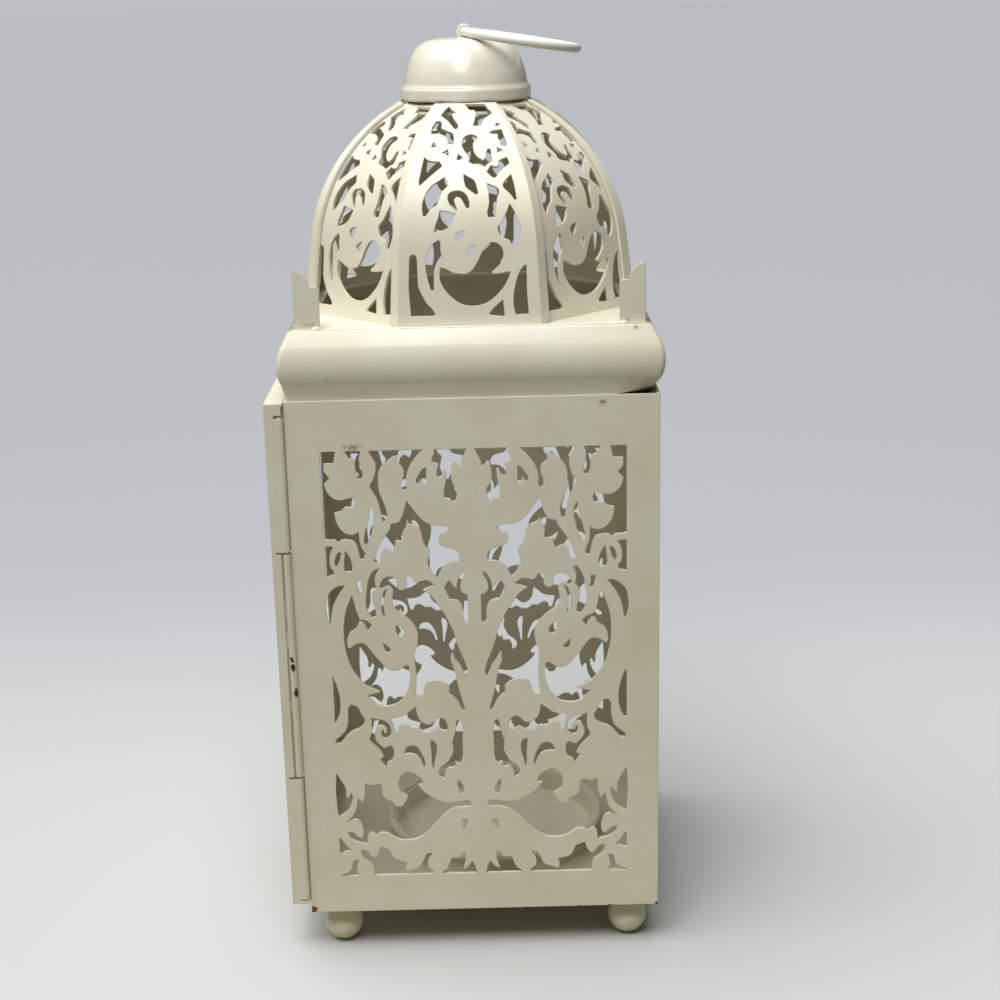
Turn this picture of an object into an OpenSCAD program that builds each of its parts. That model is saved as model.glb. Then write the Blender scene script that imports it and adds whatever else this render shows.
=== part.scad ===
// Pierced sheet-metal lantern: a square body with a hinged side door, a half-round
// cornice, an eight-petalled dome, a spun cap and a carrying ring, on four ball feet.
// Millimetres. +Z is up and the front faces -Y. The origin is on the floor, under the
// middle of the body.

/* [Body] */
// Width and depth of the square body
body_w = 120; // [100:1:160]
// Height of the body's walls
body_h = 181.5; // [150:0.5:230]
// Thickness of the sheet metal
sheet = 1; // [0.7:0.1:1.4]
// Plain margin at each side of a pierced window
margin_side = 10.5; // [7:0.5:14]
// Plain margin under a pierced window
margin_low = 13.3; // [8:0.1:18]
// Plain margin over a pierced window
margin_top = 16.7; // [12:0.1:22]
// How far the tree of the pattern stands left of the middle of its window
tree_off = 0.9; // [0:0.1:1.5]

/* [Feet] */
// Diameter of a ball foot
foot_d = 13.3; // [9:0.1:18]
// Height of the body above the floor
foot_h = 15; // [11:0.5:22]
// Distance from a foot's middle to the outside of the walls
foot_inset = 10; // [8:0.5:16]
// Depth of the flat that a foot stands on
foot_flat = 0.25; // [0.15:0.05:0.5]
// Diameter of the neck between a ball and the base
neck_d = 6.4; // [5:0.2:8]
// Diameter of a foot screw's head
screw_head_d = 6; // [4:0.5:8]
// Height of a foot screw's head
screw_head_h = 1.8; // [1:0.1:3]

/* [Door] */
// How far the door's face stands out from the body's side
door_out = 6.2; // [5:0.1:9]
// Gap between the bottom of the walls and the bottom of the door
door_low = 4.2; // [2:0.1:8]
// Gap between the top of the walls and the top of the door
door_top = 0.3; // [0.2:0.1:2]
// Free gap between the door's edges and the body's side
door_gap = 0.35; // [0.3:0.05:1]
// Depth of the flange along the door's free edge
free_flange = 3.6; // [3:0.1:4.5]
// Width of the jambs beside the doorway
jamb_w = 10.5; // [6:0.5:14]
// Height of the strip over the doorway
head_h = 12; // [6:0.5:16]

/* [Hinge] */
// Diameter of the hinge pin
pin_d = 1.2; // [1:0.1:1.6]
// Radial play between the pin and its knuckles
pin_play = 0.05; // [0.02:0.01:0.08]
// Wall of a rolled knuckle
knuckle_wall = 0.6; // [0.5:0.05:0.8]
// Distance from the axis of the hinge to the body's side
hinge_out = 1.6; // [1.5:0.05:2.2]
// Distance from the axis of the hinge to the front's face
hinge_fore = 0.4; // [0.4:0.05:0.8]
// Slit between two knuckles
knuckle_slit = 0.8; // [0.4:0.1:1.5]
// Height of the middle knuckle's lower end above the walls' bottom
knuckle_low = 52; // [40:1:70]
// Height of the middle knuckle's upper end above the walls' bottom
knuckle_high = 130.9; // [110:0.1:140]
// Distance from the top of the door to the top of the barrel
barrel_drop = 5; // [3:0.5:12]
// Distance from the bottom of the door to the bottom of the barrel
barrel_lift = 1.5; // [1.2:0.1:6]
// Diameter of the pin's peened head
pin_head_d = 2.2; // [1.8:0.1:2.6]
// Height of the pin's peened head
pin_head_h = 0.8; // [0.5:0.1:1.5]
// Width of flange left between a slit and the door's face
slit_land = 0.4; // [0.3:0.1:1.5]
// Gap between the flange's ear over the barrel and the body's corner, as the door turns
ear_gap = 0.15; // [0.1:0.05:0.3]

/* [Latch] */
// Height of the latch above the walls' bottom
latch_z = 95; // [60:1:130]
// Distance from the latch's pivot to its stud
latch_reach = 9.4; // [8:0.1:12]
// Width of the latch hook
hook_w = 3.5; // [3.2:0.1:5]
// Length of hook past the stud
hook_tail = 3; // [2:0.1:5]
// Diameter of the latch's rivets
rivet_d = 2; // [1.6:0.1:2.2]
// Diameter of a rivet's head
rivet_head_d = 3.4; // [2.8:0.1:4]
// Thickness of a rivet's head
rivet_head_h = 0.7; // [0.5:0.1:1.2]
// Diameter of the peened tail of the pivot's rivet, inside the door
rivet_tail_d = 2.4; // [2.3:0.05:2.5]
// Play around the latch
latch_play = 0.2; // [0.1:0.05:0.3]
// Play between the stud and the hook's slot
slot_play = 0.35; // [0.3:0.05:0.5]

/* [Cornice] */
// Height of the plain band under the half-round
band_h = 5.2; // [3:0.1:8]
// How far the foot of the band stands in from the walls
band_in = 0.5; // [0.2:0.1:0.9]
// Radius of the half-round
round_r = 14.65; // [12:0.05:18]
// How far the half-round stands out from the walls
round_out = 1.7; // [1:0.1:3]
// Height of the half-round's widest line above the walls
round_z = 11.5; // [8:0.1:14]
// Height of the cornice up to the top plate
cornice_h = 21.2; // [17:0.1:24]

/* [Top] */
// How far the edge of the top plate stands in from the cornice's top
plate_in = 0.6; // [0.2:0.1:1.2]
// Ledge of the top plate inside the dome's petals
ledge = 3; // [2:0.1:6]
// Length of one leg of a corner finial
finial_leg = 8.2; // [6:0.1:10]
// Height of a corner finial
finial_h = 19.1; // [14:0.1:24]
// Distance from a finial's outside to the edge of the top plate
finial_in = 1.8; // [0.3:0.1:2.4]

/* [Dome] */
// Distance from the edge of the top plate to a petal's foot
dome_in = 2.3; // [1:0.1:5]
// Lean of a petal's straight foot, in degrees from upright
petal_lean = 6.7; // [5:0.1:9]
// Radius of a petal's bend
petal_r = 54.9; // [50:0.1:60]
// Length of a petal's straight foot
petal_foot = 24.1; // [18:0.1:30]
// Width of the flanges along the four main petals, at their foot
petal_flange = 3.4; // [3:0.1:6]
// Radius of the free lower corner of such a flange
flange_round = 2; // [1:0.1:4]
// Gap between a flange and the petal under it
petal_gap = 0.2; // [0.1:0.05:0.4]
// How much further in than the main petals the ones between them end
petal_tuck = 2.1; // [0.5:0.1:3]
// Part of the drawn length of a petal's pattern that lies under its foot
pattern_drop = 1.7; // [0:0.1:3]
// Distance from the axis at which the drawing of a petal's pattern ends
pattern_r = 20; // [18:0.5:21]
// How far the collar inside the dome reaches under the petals
collar_lap = 0.8; // [0.4:0.1:2]

/* [Cap] */
// Radius of the cap's rolled rim
rim_r = 22; // [21.4:0.1:22.2]
// Height of the cap's rolled rim
rim_h = 4.4; // [2:0.1:5]
// Height of the cap
cap_h = 20.2; // [16:0.1:24]
// How far the cap's rim laps over the ends of the petals
cap_lap = 0.4; // [0.2:0.1:0.8]
// Gap between the petals and the cap, and between the petals and the collar
clamp_gap = 0.05; // [0.02:0.01:0.2]
// Diameter of the eye's stem
stem_d = 3.5; // [3.4:0.1:3.8]
// Play around the eye's stem
stem_play = 0.1; // [0.05:0.05:0.3]
// Diameter of the eye's wire
eye_wire = 0.9; // [0.7:0.1:1.1]
// Play between the eye and the ring
eye_play = 0.15; // [0.1:0.05:0.25]
// Width of the nut across its corners
nut_w = 6.35; // [5.5:0.05:8]
// Height of the nut
nut_h = 2.4; // [1.8:0.1:4]
// Radius of the ring of vents in the collar
vent_ring = 12; // [11:0.5:13]
// Diameter of a vent in the collar
vent_d = 9; // [6:0.5:10]

/* [Ring] */
// Outer diameter of the carrying ring
ring_d = 40.9; // [36:0.1:50]
// Diameter of the ring's wire
ring_wire = 2.9; // [2.4:0.1:3.2]
// Angle below level at which the ring lies on the cap
ring_tilt = 9.4; // [8:0.1:10]
// Height of the eye's middle above the top of the cap
eye_z = 1.75; // [1.7:0.05:2.2]

/* [Dish] */
// Outer diameter of the candle dish
dish_d = 80; // [60:1:84]
// Height of the candle dish
dish_h = 9; // [6.5:0.5:14]
// Radius of the dish's rolled rim
dish_bead = 1.1; // [0.8:0.1:1.4]
// How far the dish stands right of the middle
dish_x = 4; // [-4:0.5:5]
// How far the dish stands behind the middle
dish_y = -2; // [-4:0.5:4]

/* [Hidden] */
$fn = 96;
// Overrun of every cut past the face that it opens
over = 1;
// Colours of the paint and of the hinge wire
ivory = "#E9E3CE";
steel = "#8F8B80";
// A pierced outline is rounded where it turns less than this, in degrees, and where
// it bulges more than this between two of its points
corner_turn = 55;
least_bulge = 0.1;

half = body_w / 2;
wall_z = foot_h;
wall_top = foot_h + body_h;
win_w = body_w - 2 * margin_side;
win_h = body_h - margin_low - margin_top;

// Axis of the hinge and sizes of the barrel
pin_x = -half - hinge_out;
pin_y = -half - hinge_fore;
knuckle_r = pin_d / 2 + pin_play + knuckle_wall;
door_z0 = wall_z + door_low;
door_z1 = wall_top - door_top;
door_x = -half - door_out;
// The front flange's face is tangent to the barrel
flange_y = pin_y - knuckle_r;
flange_end = pin_x - knuckle_r - door_gap;
barrel_z0 = door_z0 + barrel_lift;
barrel_z1 = door_z1 - barrel_drop;

// Latch on the flange of the door's free edge
free_y = half + door_gap;
latch_x = door_x + (sheet + free_flange) / 2;
hook_y0 = free_y + latch_play;
hook_y1 = hook_y0 + sheet;
head_y = hook_y1 + latch_play;

// The hinge's flange reaches this far past the axis, over the barrel
ear = sqrt(pow(norm([hinge_out, hinge_fore]) - ear_gap, 2) - pow(knuckle_r, 2));

// The top plate lies on the cornice, and carries the finials and the dome
round_x = half + round_out - round_r;
cornice_z = wall_top + cornice_h;
plate_z = cornice_z + sheet;
plate_edge = round_x + sqrt(pow(round_r, 2) - pow(cornice_h - round_z, 2)) - plate_in;
finial_edge = plate_edge - finial_in;
dome_r = plate_edge - dome_in;

// A petal runs straight up from its foot and then bends inward on one arc
bend_r0 = dome_r - petal_foot * sin(petal_lean);
bend_z0 = plate_z + petal_foot * cos(petal_lean);
bend_cr = bend_r0 - petal_r * cos(petal_lean);
bend_cz = bend_z0 - petal_r * sin(petal_lean);
petal_top_r = rim_r - cap_lap;
petal_top = bend_cz + sqrt(pow(petal_r, 2) - pow(petal_top_r - bend_cr, 2));
// Length and foot width that the petal's pattern is drawn on
draw_end = acos((pattern_r - bend_cr) / petal_r);
draw_len = pattern_drop + petal_foot + petal_r * (draw_end - petal_lean) * PI / 180;
draw_w = 2 * dome_r * tan(22.5);

// Cap, collar, eye and ring
cap_z = petal_top + clamp_gap;
cap_top = cap_z + cap_h;
collar_r = petal_top_r + collar_lap;
// The collar's edge seats under the inner face of the petals that lie deeper
collar_top = bend_cz + sqrt(pow(petal_r - 2 * sheet - petal_gap, 2)
    - pow(collar_r + clamp_gap - bend_cr, 2));
eye_in = ring_wire / 2 + eye_play;
eye_c = cap_top + eye_z;
ring_r = (ring_d - ring_wire) / 2;

// Openings of a pierced wall: the right half of a tree with scrolls, leaves and
// birds. Each point is [share of half the window's width, share of its height from
// the top], in hundredths.
tree_shares = [
    // Crown of the tree
    [[0.8, 0], [2.8, 1.4], [4.7, 2.6], [5, 3.6], [6.5, 3.9], [8.6, 2.8], [10.2, 2.9],
     [11.4, 4.4], [11.8, 6.2], [10.8, 7.6], [8.2, 8.8], [8.2, 10.2], [9.3, 11.4],
     [11, 11.7], [13, 10.9], [16, 10.8], [17, 9.8], [16.2, 8.2], [15, 6.6],
     [14.7, 4.6], [16.2, 4.5], [18.5, 5.9], [20.8, 6.1], [21.4, 4.8], [19.7, 3.2],
     [24.2, 2.7], [23.6, 1.3], [22.4, 1.1], [22.6, 0]],
    // Bud under the top leaf
    [[28.2, 3.9], [30.5, 4.1], [33.2, 5.4], [35.5, 6.7], [35, 7.5], [33.3, 7.3],
     [32, 6.3], [30.8, 7.5], [28, 7.6], [28.6, 5.8]],
    // Long scroll hanging from the top edge
    [[30.3, 0], [33.2, 0.9], [36.5, 2.2], [39.5, 3.6], [41.5, 5.2], [42.3, 6.6],
     [41.4, 8], [43, 8.9], [46, 8.4], [45.8, 7.3], [44.2, 6.4], [43.3, 4.6],
     [44.3, 3.7], [47.3, 3], [47.8, 1.9], [46.3, 1.2], [50, 1.3], [54.5, 2.4],
     [58, 3.3], [60.4, 4.6], [61, 6.8], [60.8, 9], [58.8, 10.6], [56.4, 12.8],
     [55.7, 14], [57, 15.6], [58.8, 15.8], [59.8, 14], [61, 12], [62.6, 10.4],
     [65.4, 8.8], [66.9, 7.6], [64.4, 6.4], [62.5, 4.6], [62.3, 2.6], [66.3, 0.4],
     [66.3, 0]],
    // Drop beside the scroll
    [[72, 0], [72.9, 1], [73.4, 2], [71.8, 4], [71.2, 5.4], [72.6, 6.2], [74.4, 6.1],
     [76, 4.6], [76, 3], [77.4, 1.8], [79.7, 1.6], [82, 0.5], [82.8, 0]],
    // Border and the two round leaves in the upper corner
    [[89, 0], [89.9, 1.2], [90.6, 2.6], [97, 2.6], [97.4, 4.2], [93.6, 5.8],
     [97.6, 7.1], [96.4, 8.6], [92, 10.3], [87, 10.8], [82, 10.4], [78.6, 10.2],
     [77.2, 11.2], [78.6, 12.4], [84.4, 12.3], [87, 13.2], [91.4, 13.5],
     [91, 15.2], [88, 17.2], [84, 18.3], [79, 18.5], [75.6, 17.9], [75.3, 20],
     [74.4, 21.4], [71.8, 22.6], [73.4, 24.1], [75.2, 24.1], [76.6, 21.8],
     [79, 20], [83, 19.6], [87.6, 19.6], [90, 20.2], [92.4, 19.5], [96, 19.6],
     [99.5, 19.3], [99.5, 0]],
    // Crescent beside the round leaf
    [[66.8, 12.2], [68, 13.6], [68.4, 15.3], [70.3, 17], [71.8, 18.8], [72, 20.5],
     [70.8, 20.9], [68.4, 19.8], [66.4, 17.7], [65, 15.3], [65.2, 13.3]],
    // Sky above the bird
    [[42.5, 11.2], [43.9, 13.1], [46, 14.8], [48.8, 16], [53.4, 16.2], [54.2, 17.4],
     [57.4, 18.8], [60.6, 20.3], [63, 21.9], [66.2, 24.8], [61.8, 25], [60.6, 22.6],
     [57.5, 21.7], [52.8, 22.5], [51.6, 21.6], [50.8, 19.9], [47.6, 20.2], [44.8, 19.9],
     [46, 18.3], [43.2, 16.9], [42.8, 15.4], [40.8, 16.4], [36.6, 16.9], [33.2, 18.2],
     [32.2, 20.2], [30.8, 21.3], [28, 22.2], [28, 23.4], [29.3, 25], [28.2, 26.5],
     [25, 28.2], [22.8, 28.7], [21, 27.2], [17.8, 25.9], [13, 25], [8, 25],
     [7.4, 24.2], [9.6, 22.5], [13.6, 22], [18.6, 21.6], [21.5, 20.4], [20.4, 18.8],
     [15.4, 18.3], [14.1, 17.6], [16, 17], [24, 16.8], [30.5, 16], [36, 14.1],
     [40, 12.2]],
    // Hook beside the trunk
    [[4, 27.4], [6.4, 27.8], [8.6, 28.9], [9.9, 30.3], [9.9, 31.5], [13.2, 30.2],
     [14.8, 29.2], [18.8, 30.8], [16.4, 32.6], [14.8, 33.7], [10.4, 33.9], [7.2, 34.8],
     [6, 37], [5.6, 38.8], [3.4, 39.3], [2.5, 38.4], [2.7, 35.5], [2.6, 32.7],
     [6, 32.3], [7.6, 31.4], [6.8, 29.6], [4.6, 28.4]],
    // Bird's neck, breast and the air around its legs
    [[25.3, 30.3], [28.2, 29.5], [31.5, 29.1], [36.5, 29.6], [39.4, 29.2], [40.4, 28.3],
     [43, 28.1], [44.8, 28.6], [44.3, 30.2], [46, 31.2], [49, 31.4], [51, 30.8],
     [51, 29], [53.4, 28.3], [57.5, 28.2], [61.2, 29], [63.2, 30.4], [61.6, 30.9],
     [57, 30.2], [53.8, 31.2], [54.8, 33.2], [54.4, 34.8], [51.5, 36.1], [46, 37.4],
     [41.6, 38.8], [38.6, 40.4], [37.7, 42.4], [38.6, 44.2], [40.8, 46.3], [40.4, 48.6],
     [39.7, 51.2], [40.2, 53.6], [41, 56.1], [38, 56.2], [35.6, 55.7], [34.9, 54.3],
     [33, 53], [29.2, 52.5], [24.6, 52.6], [20, 53.3], [17, 54.4], [17.6, 55.5],
     [13.6, 56.6], [10.8, 58], [8.3, 59.7], [6.4, 59.6], [8.6, 57.2], [10.8, 54.4],
     [12.4, 51.6], [13.5, 49.9], [15.3, 48.5], [15.7, 47], [14.2, 45.9], [12.8, 47.5],
     [9, 48.9], [6.3, 51.2], [4.7, 51.7], [4, 50.6], [6.4, 47.8], [9.4, 45.4],
     [11.6, 43.4], [13.2, 41], [16, 39.1], [18.6, 37.2], [21.6, 35.6], [25, 34],
     [28.6, 32.4], [33.5, 31.3], [29.6, 30.8]],
    // Slim crescent behind the bird's head
    [[57.6, 31], [59.6, 31.2], [61.4, 32.6], [62.5, 34.4], [62.2, 36.2], [61, 37.2],
     [59.6, 37], [60.8, 35.4], [60.8, 33.8], [59.6, 32.4]],
    // Long leaf right of the bird
    [[62.6, 26.2], [66.2, 26.6], [69.2, 27.8], [71.2, 29.4], [71.8, 31.4], [73, 33.6],
     [71.6, 36.2], [69, 37.5], [66.3, 37.2], [66.3, 35.8], [68, 34], [68.5, 32],
     [65.2, 30.8], [66.2, 29.2], [65.3, 27.7]],
    // Three seeds in the border
    [[85.5, 22], [86, 23.6], [86.8, 25.6], [86, 26.8], [81.2, 26.8], [81, 25.4],
     [82.4, 23.6]],
    [[88, 22.4], [90.2, 22.5], [92.2, 23.6], [93, 25], [92, 25.7], [90, 24.7]],
    [[93.3, 21.1], [99.5, 21], [99.5, 28], [97, 27.8], [94.2, 27.4], [93.8, 26.6],
     [96, 25.8], [96.4, 24], [95.6, 22.3]],
    [[75.8, 28.9], [79, 28.9], [78.6, 30.2], [77, 31.6], [74.4, 31.4], [75.8, 30.2]],
    // Long thorn in the border
    [[86.5, 29.9], [91, 30], [95.5, 30.9], [99.4, 32.5], [99.5, 38.3], [98, 38.8],
     [97, 36.6], [95.6, 34.6], [92.4, 32.6], [89, 31]],
    // Ring around the second bird
    [[82.4, 32.3], [84, 33.5], [86.4, 35.3], [88.2, 37.6], [89.1, 40], [89, 43],
     [88, 45.4], [86.2, 47.9], [83.8, 49.8], [79.6, 51.8], [76, 53.2], [70.5, 54.1],
     [65.5, 54.9], [69.5, 55.3], [74.8, 55.7], [71.6, 56.8], [68.5, 57.8], [62, 58.3],
     [55, 57.9], [49.8, 56.6], [46.4, 54.8], [44.6, 52.8], [44.2, 51], [45.2, 48.8],
     [47.6, 48.8], [51.5, 49.8], [57, 49.9], [61.5, 49.1], [66, 47.2], [69, 46.1],
     [72, 44.6], [75.6, 43.4], [80, 43.4], [85.6, 44.6], [86.8, 44.2], [86.6, 42],
     [84.4, 40.7], [80.2, 39.9], [78.5, 38.6], [75.8, 38.4], [73.6, 39.5], [72.5, 40.5],
     [69.4, 39.2], [72.6, 38.2], [77.4, 37.6], [79.8, 35.8], [81, 33.8]],
    // The birds' eyes
    [[47, 41.2], [48.5, 40.2], [51, 39.5], [53.3, 39.5], [52.7, 41], [51, 41.9],
     [48.5, 42]],
    [[62.5, 43.3], [61.6, 44.6], [60.2, 45.6], [58, 45.6], [57, 44.9], [59.8, 44]],
    // Thorn beside the ring
    [[98.4, 51], [99.5, 51.2], [99.5, 62.1], [98, 62.2], [95.4, 60.5], [93.9, 58],
     [94.4, 55.2], [96.6, 52.4]],
    // Pear-shaped leaf
    [[84.4, 57.9], [87, 57.8], [88.8, 58.8], [88.9, 61.4], [90.4, 63.5], [93.6, 64.9],
     [98.8, 66.2], [98.4, 67], [95, 66.9], [90.8, 65.2], [86, 64], [81, 63.4],
     [78, 62.4], [77.3, 61.2], [79.6, 60.1], [81.2, 58.7]],
    // Scroll with a curled end
    [[72.6, 60.9], [72.4, 62.6], [72.4, 64.2], [74.6, 66], [72.8, 67.2], [69, 68.3],
     [66, 69.6], [65.2, 70.6], [67.6, 71], [65.4, 72.2], [63.8, 73.1], [62.6, 71.9],
     [59.6, 71.4], [57.9, 69.8], [58.2, 68.4], [60, 67.7], [64.5, 68.4], [68.2, 67.3],
     [70.6, 65.9], [70.2, 64.2], [68.4, 63], [65, 62.9], [62, 63.8], [62.2, 64.8],
     [64, 64.8], [64.6, 63.9], [66.3, 64.4], [65.4, 65.7], [62.2, 66.1], [59.6, 65.2],
     [59.2, 63.7], [61, 62.4], [65, 61.6], [69.6, 61.4]],
    // Branch with two flowers
    [[41.4, 58.6], [44.6, 59.4], [48.6, 60.5], [53, 61], [59.2, 61.1], [58.4, 62.4],
     [56.6, 64.2], [54.5, 64.4], [53, 63.2], [49.5, 62.8], [44.6, 63.7], [40.5, 63.6],
     [36.5, 64.6], [30, 64.5], [26.5, 63.8], [22.8, 64.5], [18.8, 64.4], [19.6, 62.8],
     [22, 61.6], [26, 61.4], [29.6, 62.6], [33, 63], [37.6, 62.2], [40.2, 60.9]],
    // Long root beside the trunk
    [[10.6, 62.1], [12.8, 62], [13.4, 64.2], [15, 66], [16.4, 67.4], [15.4, 69],
     [17, 70.6], [19.4, 72], [23.4, 72.9], [26.7, 74.4], [25.3, 75.7], [22.4, 76.1],
     [22.2, 74.6], [19.6, 73.3], [16.2, 73.5], [14.4, 73.3], [14.6, 72.1], [11.4, 72.6],
     [9.5, 71.4], [9.1, 68.4], [8.8, 64.8], [9, 63]],
    // Two blades between the roots
    [[28.8, 67], [31.9, 66.8], [31.6, 68.4], [31.1, 70.6], [31, 73.6], [29.7, 73.6],
     [29.2, 71.8], [27.6, 69.8], [27.1, 68.3]],
    [[35.3, 73], [36.8, 73.3], [38.3, 71.8], [41.4, 70.4], [46.4, 69.8], [50.4, 69.9],
     [49.6, 68.6], [46.4, 67.9], [42.6, 68], [39.4, 69.1], [36.8, 71]],
    // Two small cuts in the trunk
    [[12, 76.6], [13.5, 76.8], [13, 78.4], [11.8, 80.1], [9.4, 79.8], [8.8, 78.6],
     [10.4, 77.5]],
    [[6.5, 86.2], [11.1, 86.2], [10.6, 87.4], [10.6, 88.9], [9, 88.5], [7.3, 87.3]],
    // Large scroll over the roots
    [[38.2, 76.6], [40.4, 75.6], [43.6, 74.8], [48, 74.3], [52, 74.7], [54.9, 76.1],
     [55.4, 77.8], [53.8, 79.2], [49, 80.1], [50.2, 81.2], [53.4, 82.7], [57.6, 82.7],
     [60, 81.5], [64.5, 80.9], [67, 79.9], [67.2, 77.6], [69.4, 77], [74.6, 77.4],
     [79.3, 76.8], [79.6, 79.6], [81.6, 81.7], [83.3, 80.7], [85.1, 80.6], [86.2, 83],
     [89, 84.8], [93.5, 86.3], [88, 85.5], [84.6, 85.9], [82.4, 87.2], [81.7, 89.4],
     [83.4, 90.5], [86.6, 89.8], [89, 88.9], [93, 88.7], [91, 90.4], [86.6, 91.2],
     [79.3, 91.9], [78.6, 89.6], [76.4, 88.8], [72.6, 89.8], [69.4, 89.1], [64.4, 89.3],
     [59, 90.5], [53, 91.1], [45.6, 91], [38.6, 89.9], [32, 88], [26.4, 85.8],
     [20.8, 84.2], [14, 83.2], [5.2, 83.1], [3.8, 82.2], [6, 81.5], [13, 81.9],
     [22, 82.1], [30.4, 81], [36.4, 79.6], [40.4, 78.2], [41.5, 77.4], [38.6, 77.4]],
    // Wing in the lower border
    [[99.4, 74.3], [96.4, 75.8], [93.1, 78], [92.8, 80.4], [91.2, 80.2], [89.4, 79],
     [88.3, 79.8], [89.6, 81.8], [92.4, 83.5], [95.6, 84.3], [98.6, 84.9], [99.5, 84.2]],
    [[98.5, 90.2], [99.5, 90.4], [99.5, 94], [97.6, 94], [95, 93.5], [90.8, 93.4],
     [94.4, 92.2], [97, 91]],
    // Ground along the bottom edge
    [[1.5, 99.7], [2.4, 98.2], [4.5, 96.8], [7.6, 98.1], [11.2, 98.8], [10.2, 97.4],
     [8.7, 95.8], [9.3, 94.3], [11.4, 94.5], [13.2, 95.7], [19.4, 95.9], [21.4, 97.6],
     [23, 98.6], [26, 99.2], [25.8, 99.7]],
    [[32.5, 99.7], [33, 98.9], [35.8, 98.3], [36.6, 97], [35.2, 95.5], [32.8, 94.5],
     [37, 94.6], [38.8, 95.6], [41.2, 97.4], [44.8, 98.3], [52.2, 99], [52.8, 97.6],
     [51.4, 96.7], [57, 96.2], [61.6, 95.4], [63.8, 93.5], [70.5, 92.6], [71.4, 94],
     [74.4, 95.3], [77.6, 94.9], [79.2, 93.7], [84.5, 93.3], [82.8, 95.3], [79.6, 96.2],
     [76.4, 96.9], [75.3, 98.2], [75.6, 99.7]],
    [[86, 95.7], [90.2, 95.9], [91, 97.5], [93.4, 98.7], [99, 99.5], [99, 99.8],
     [86.6, 99.7], [88, 98.2], [87.2, 96.8]]];

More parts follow.
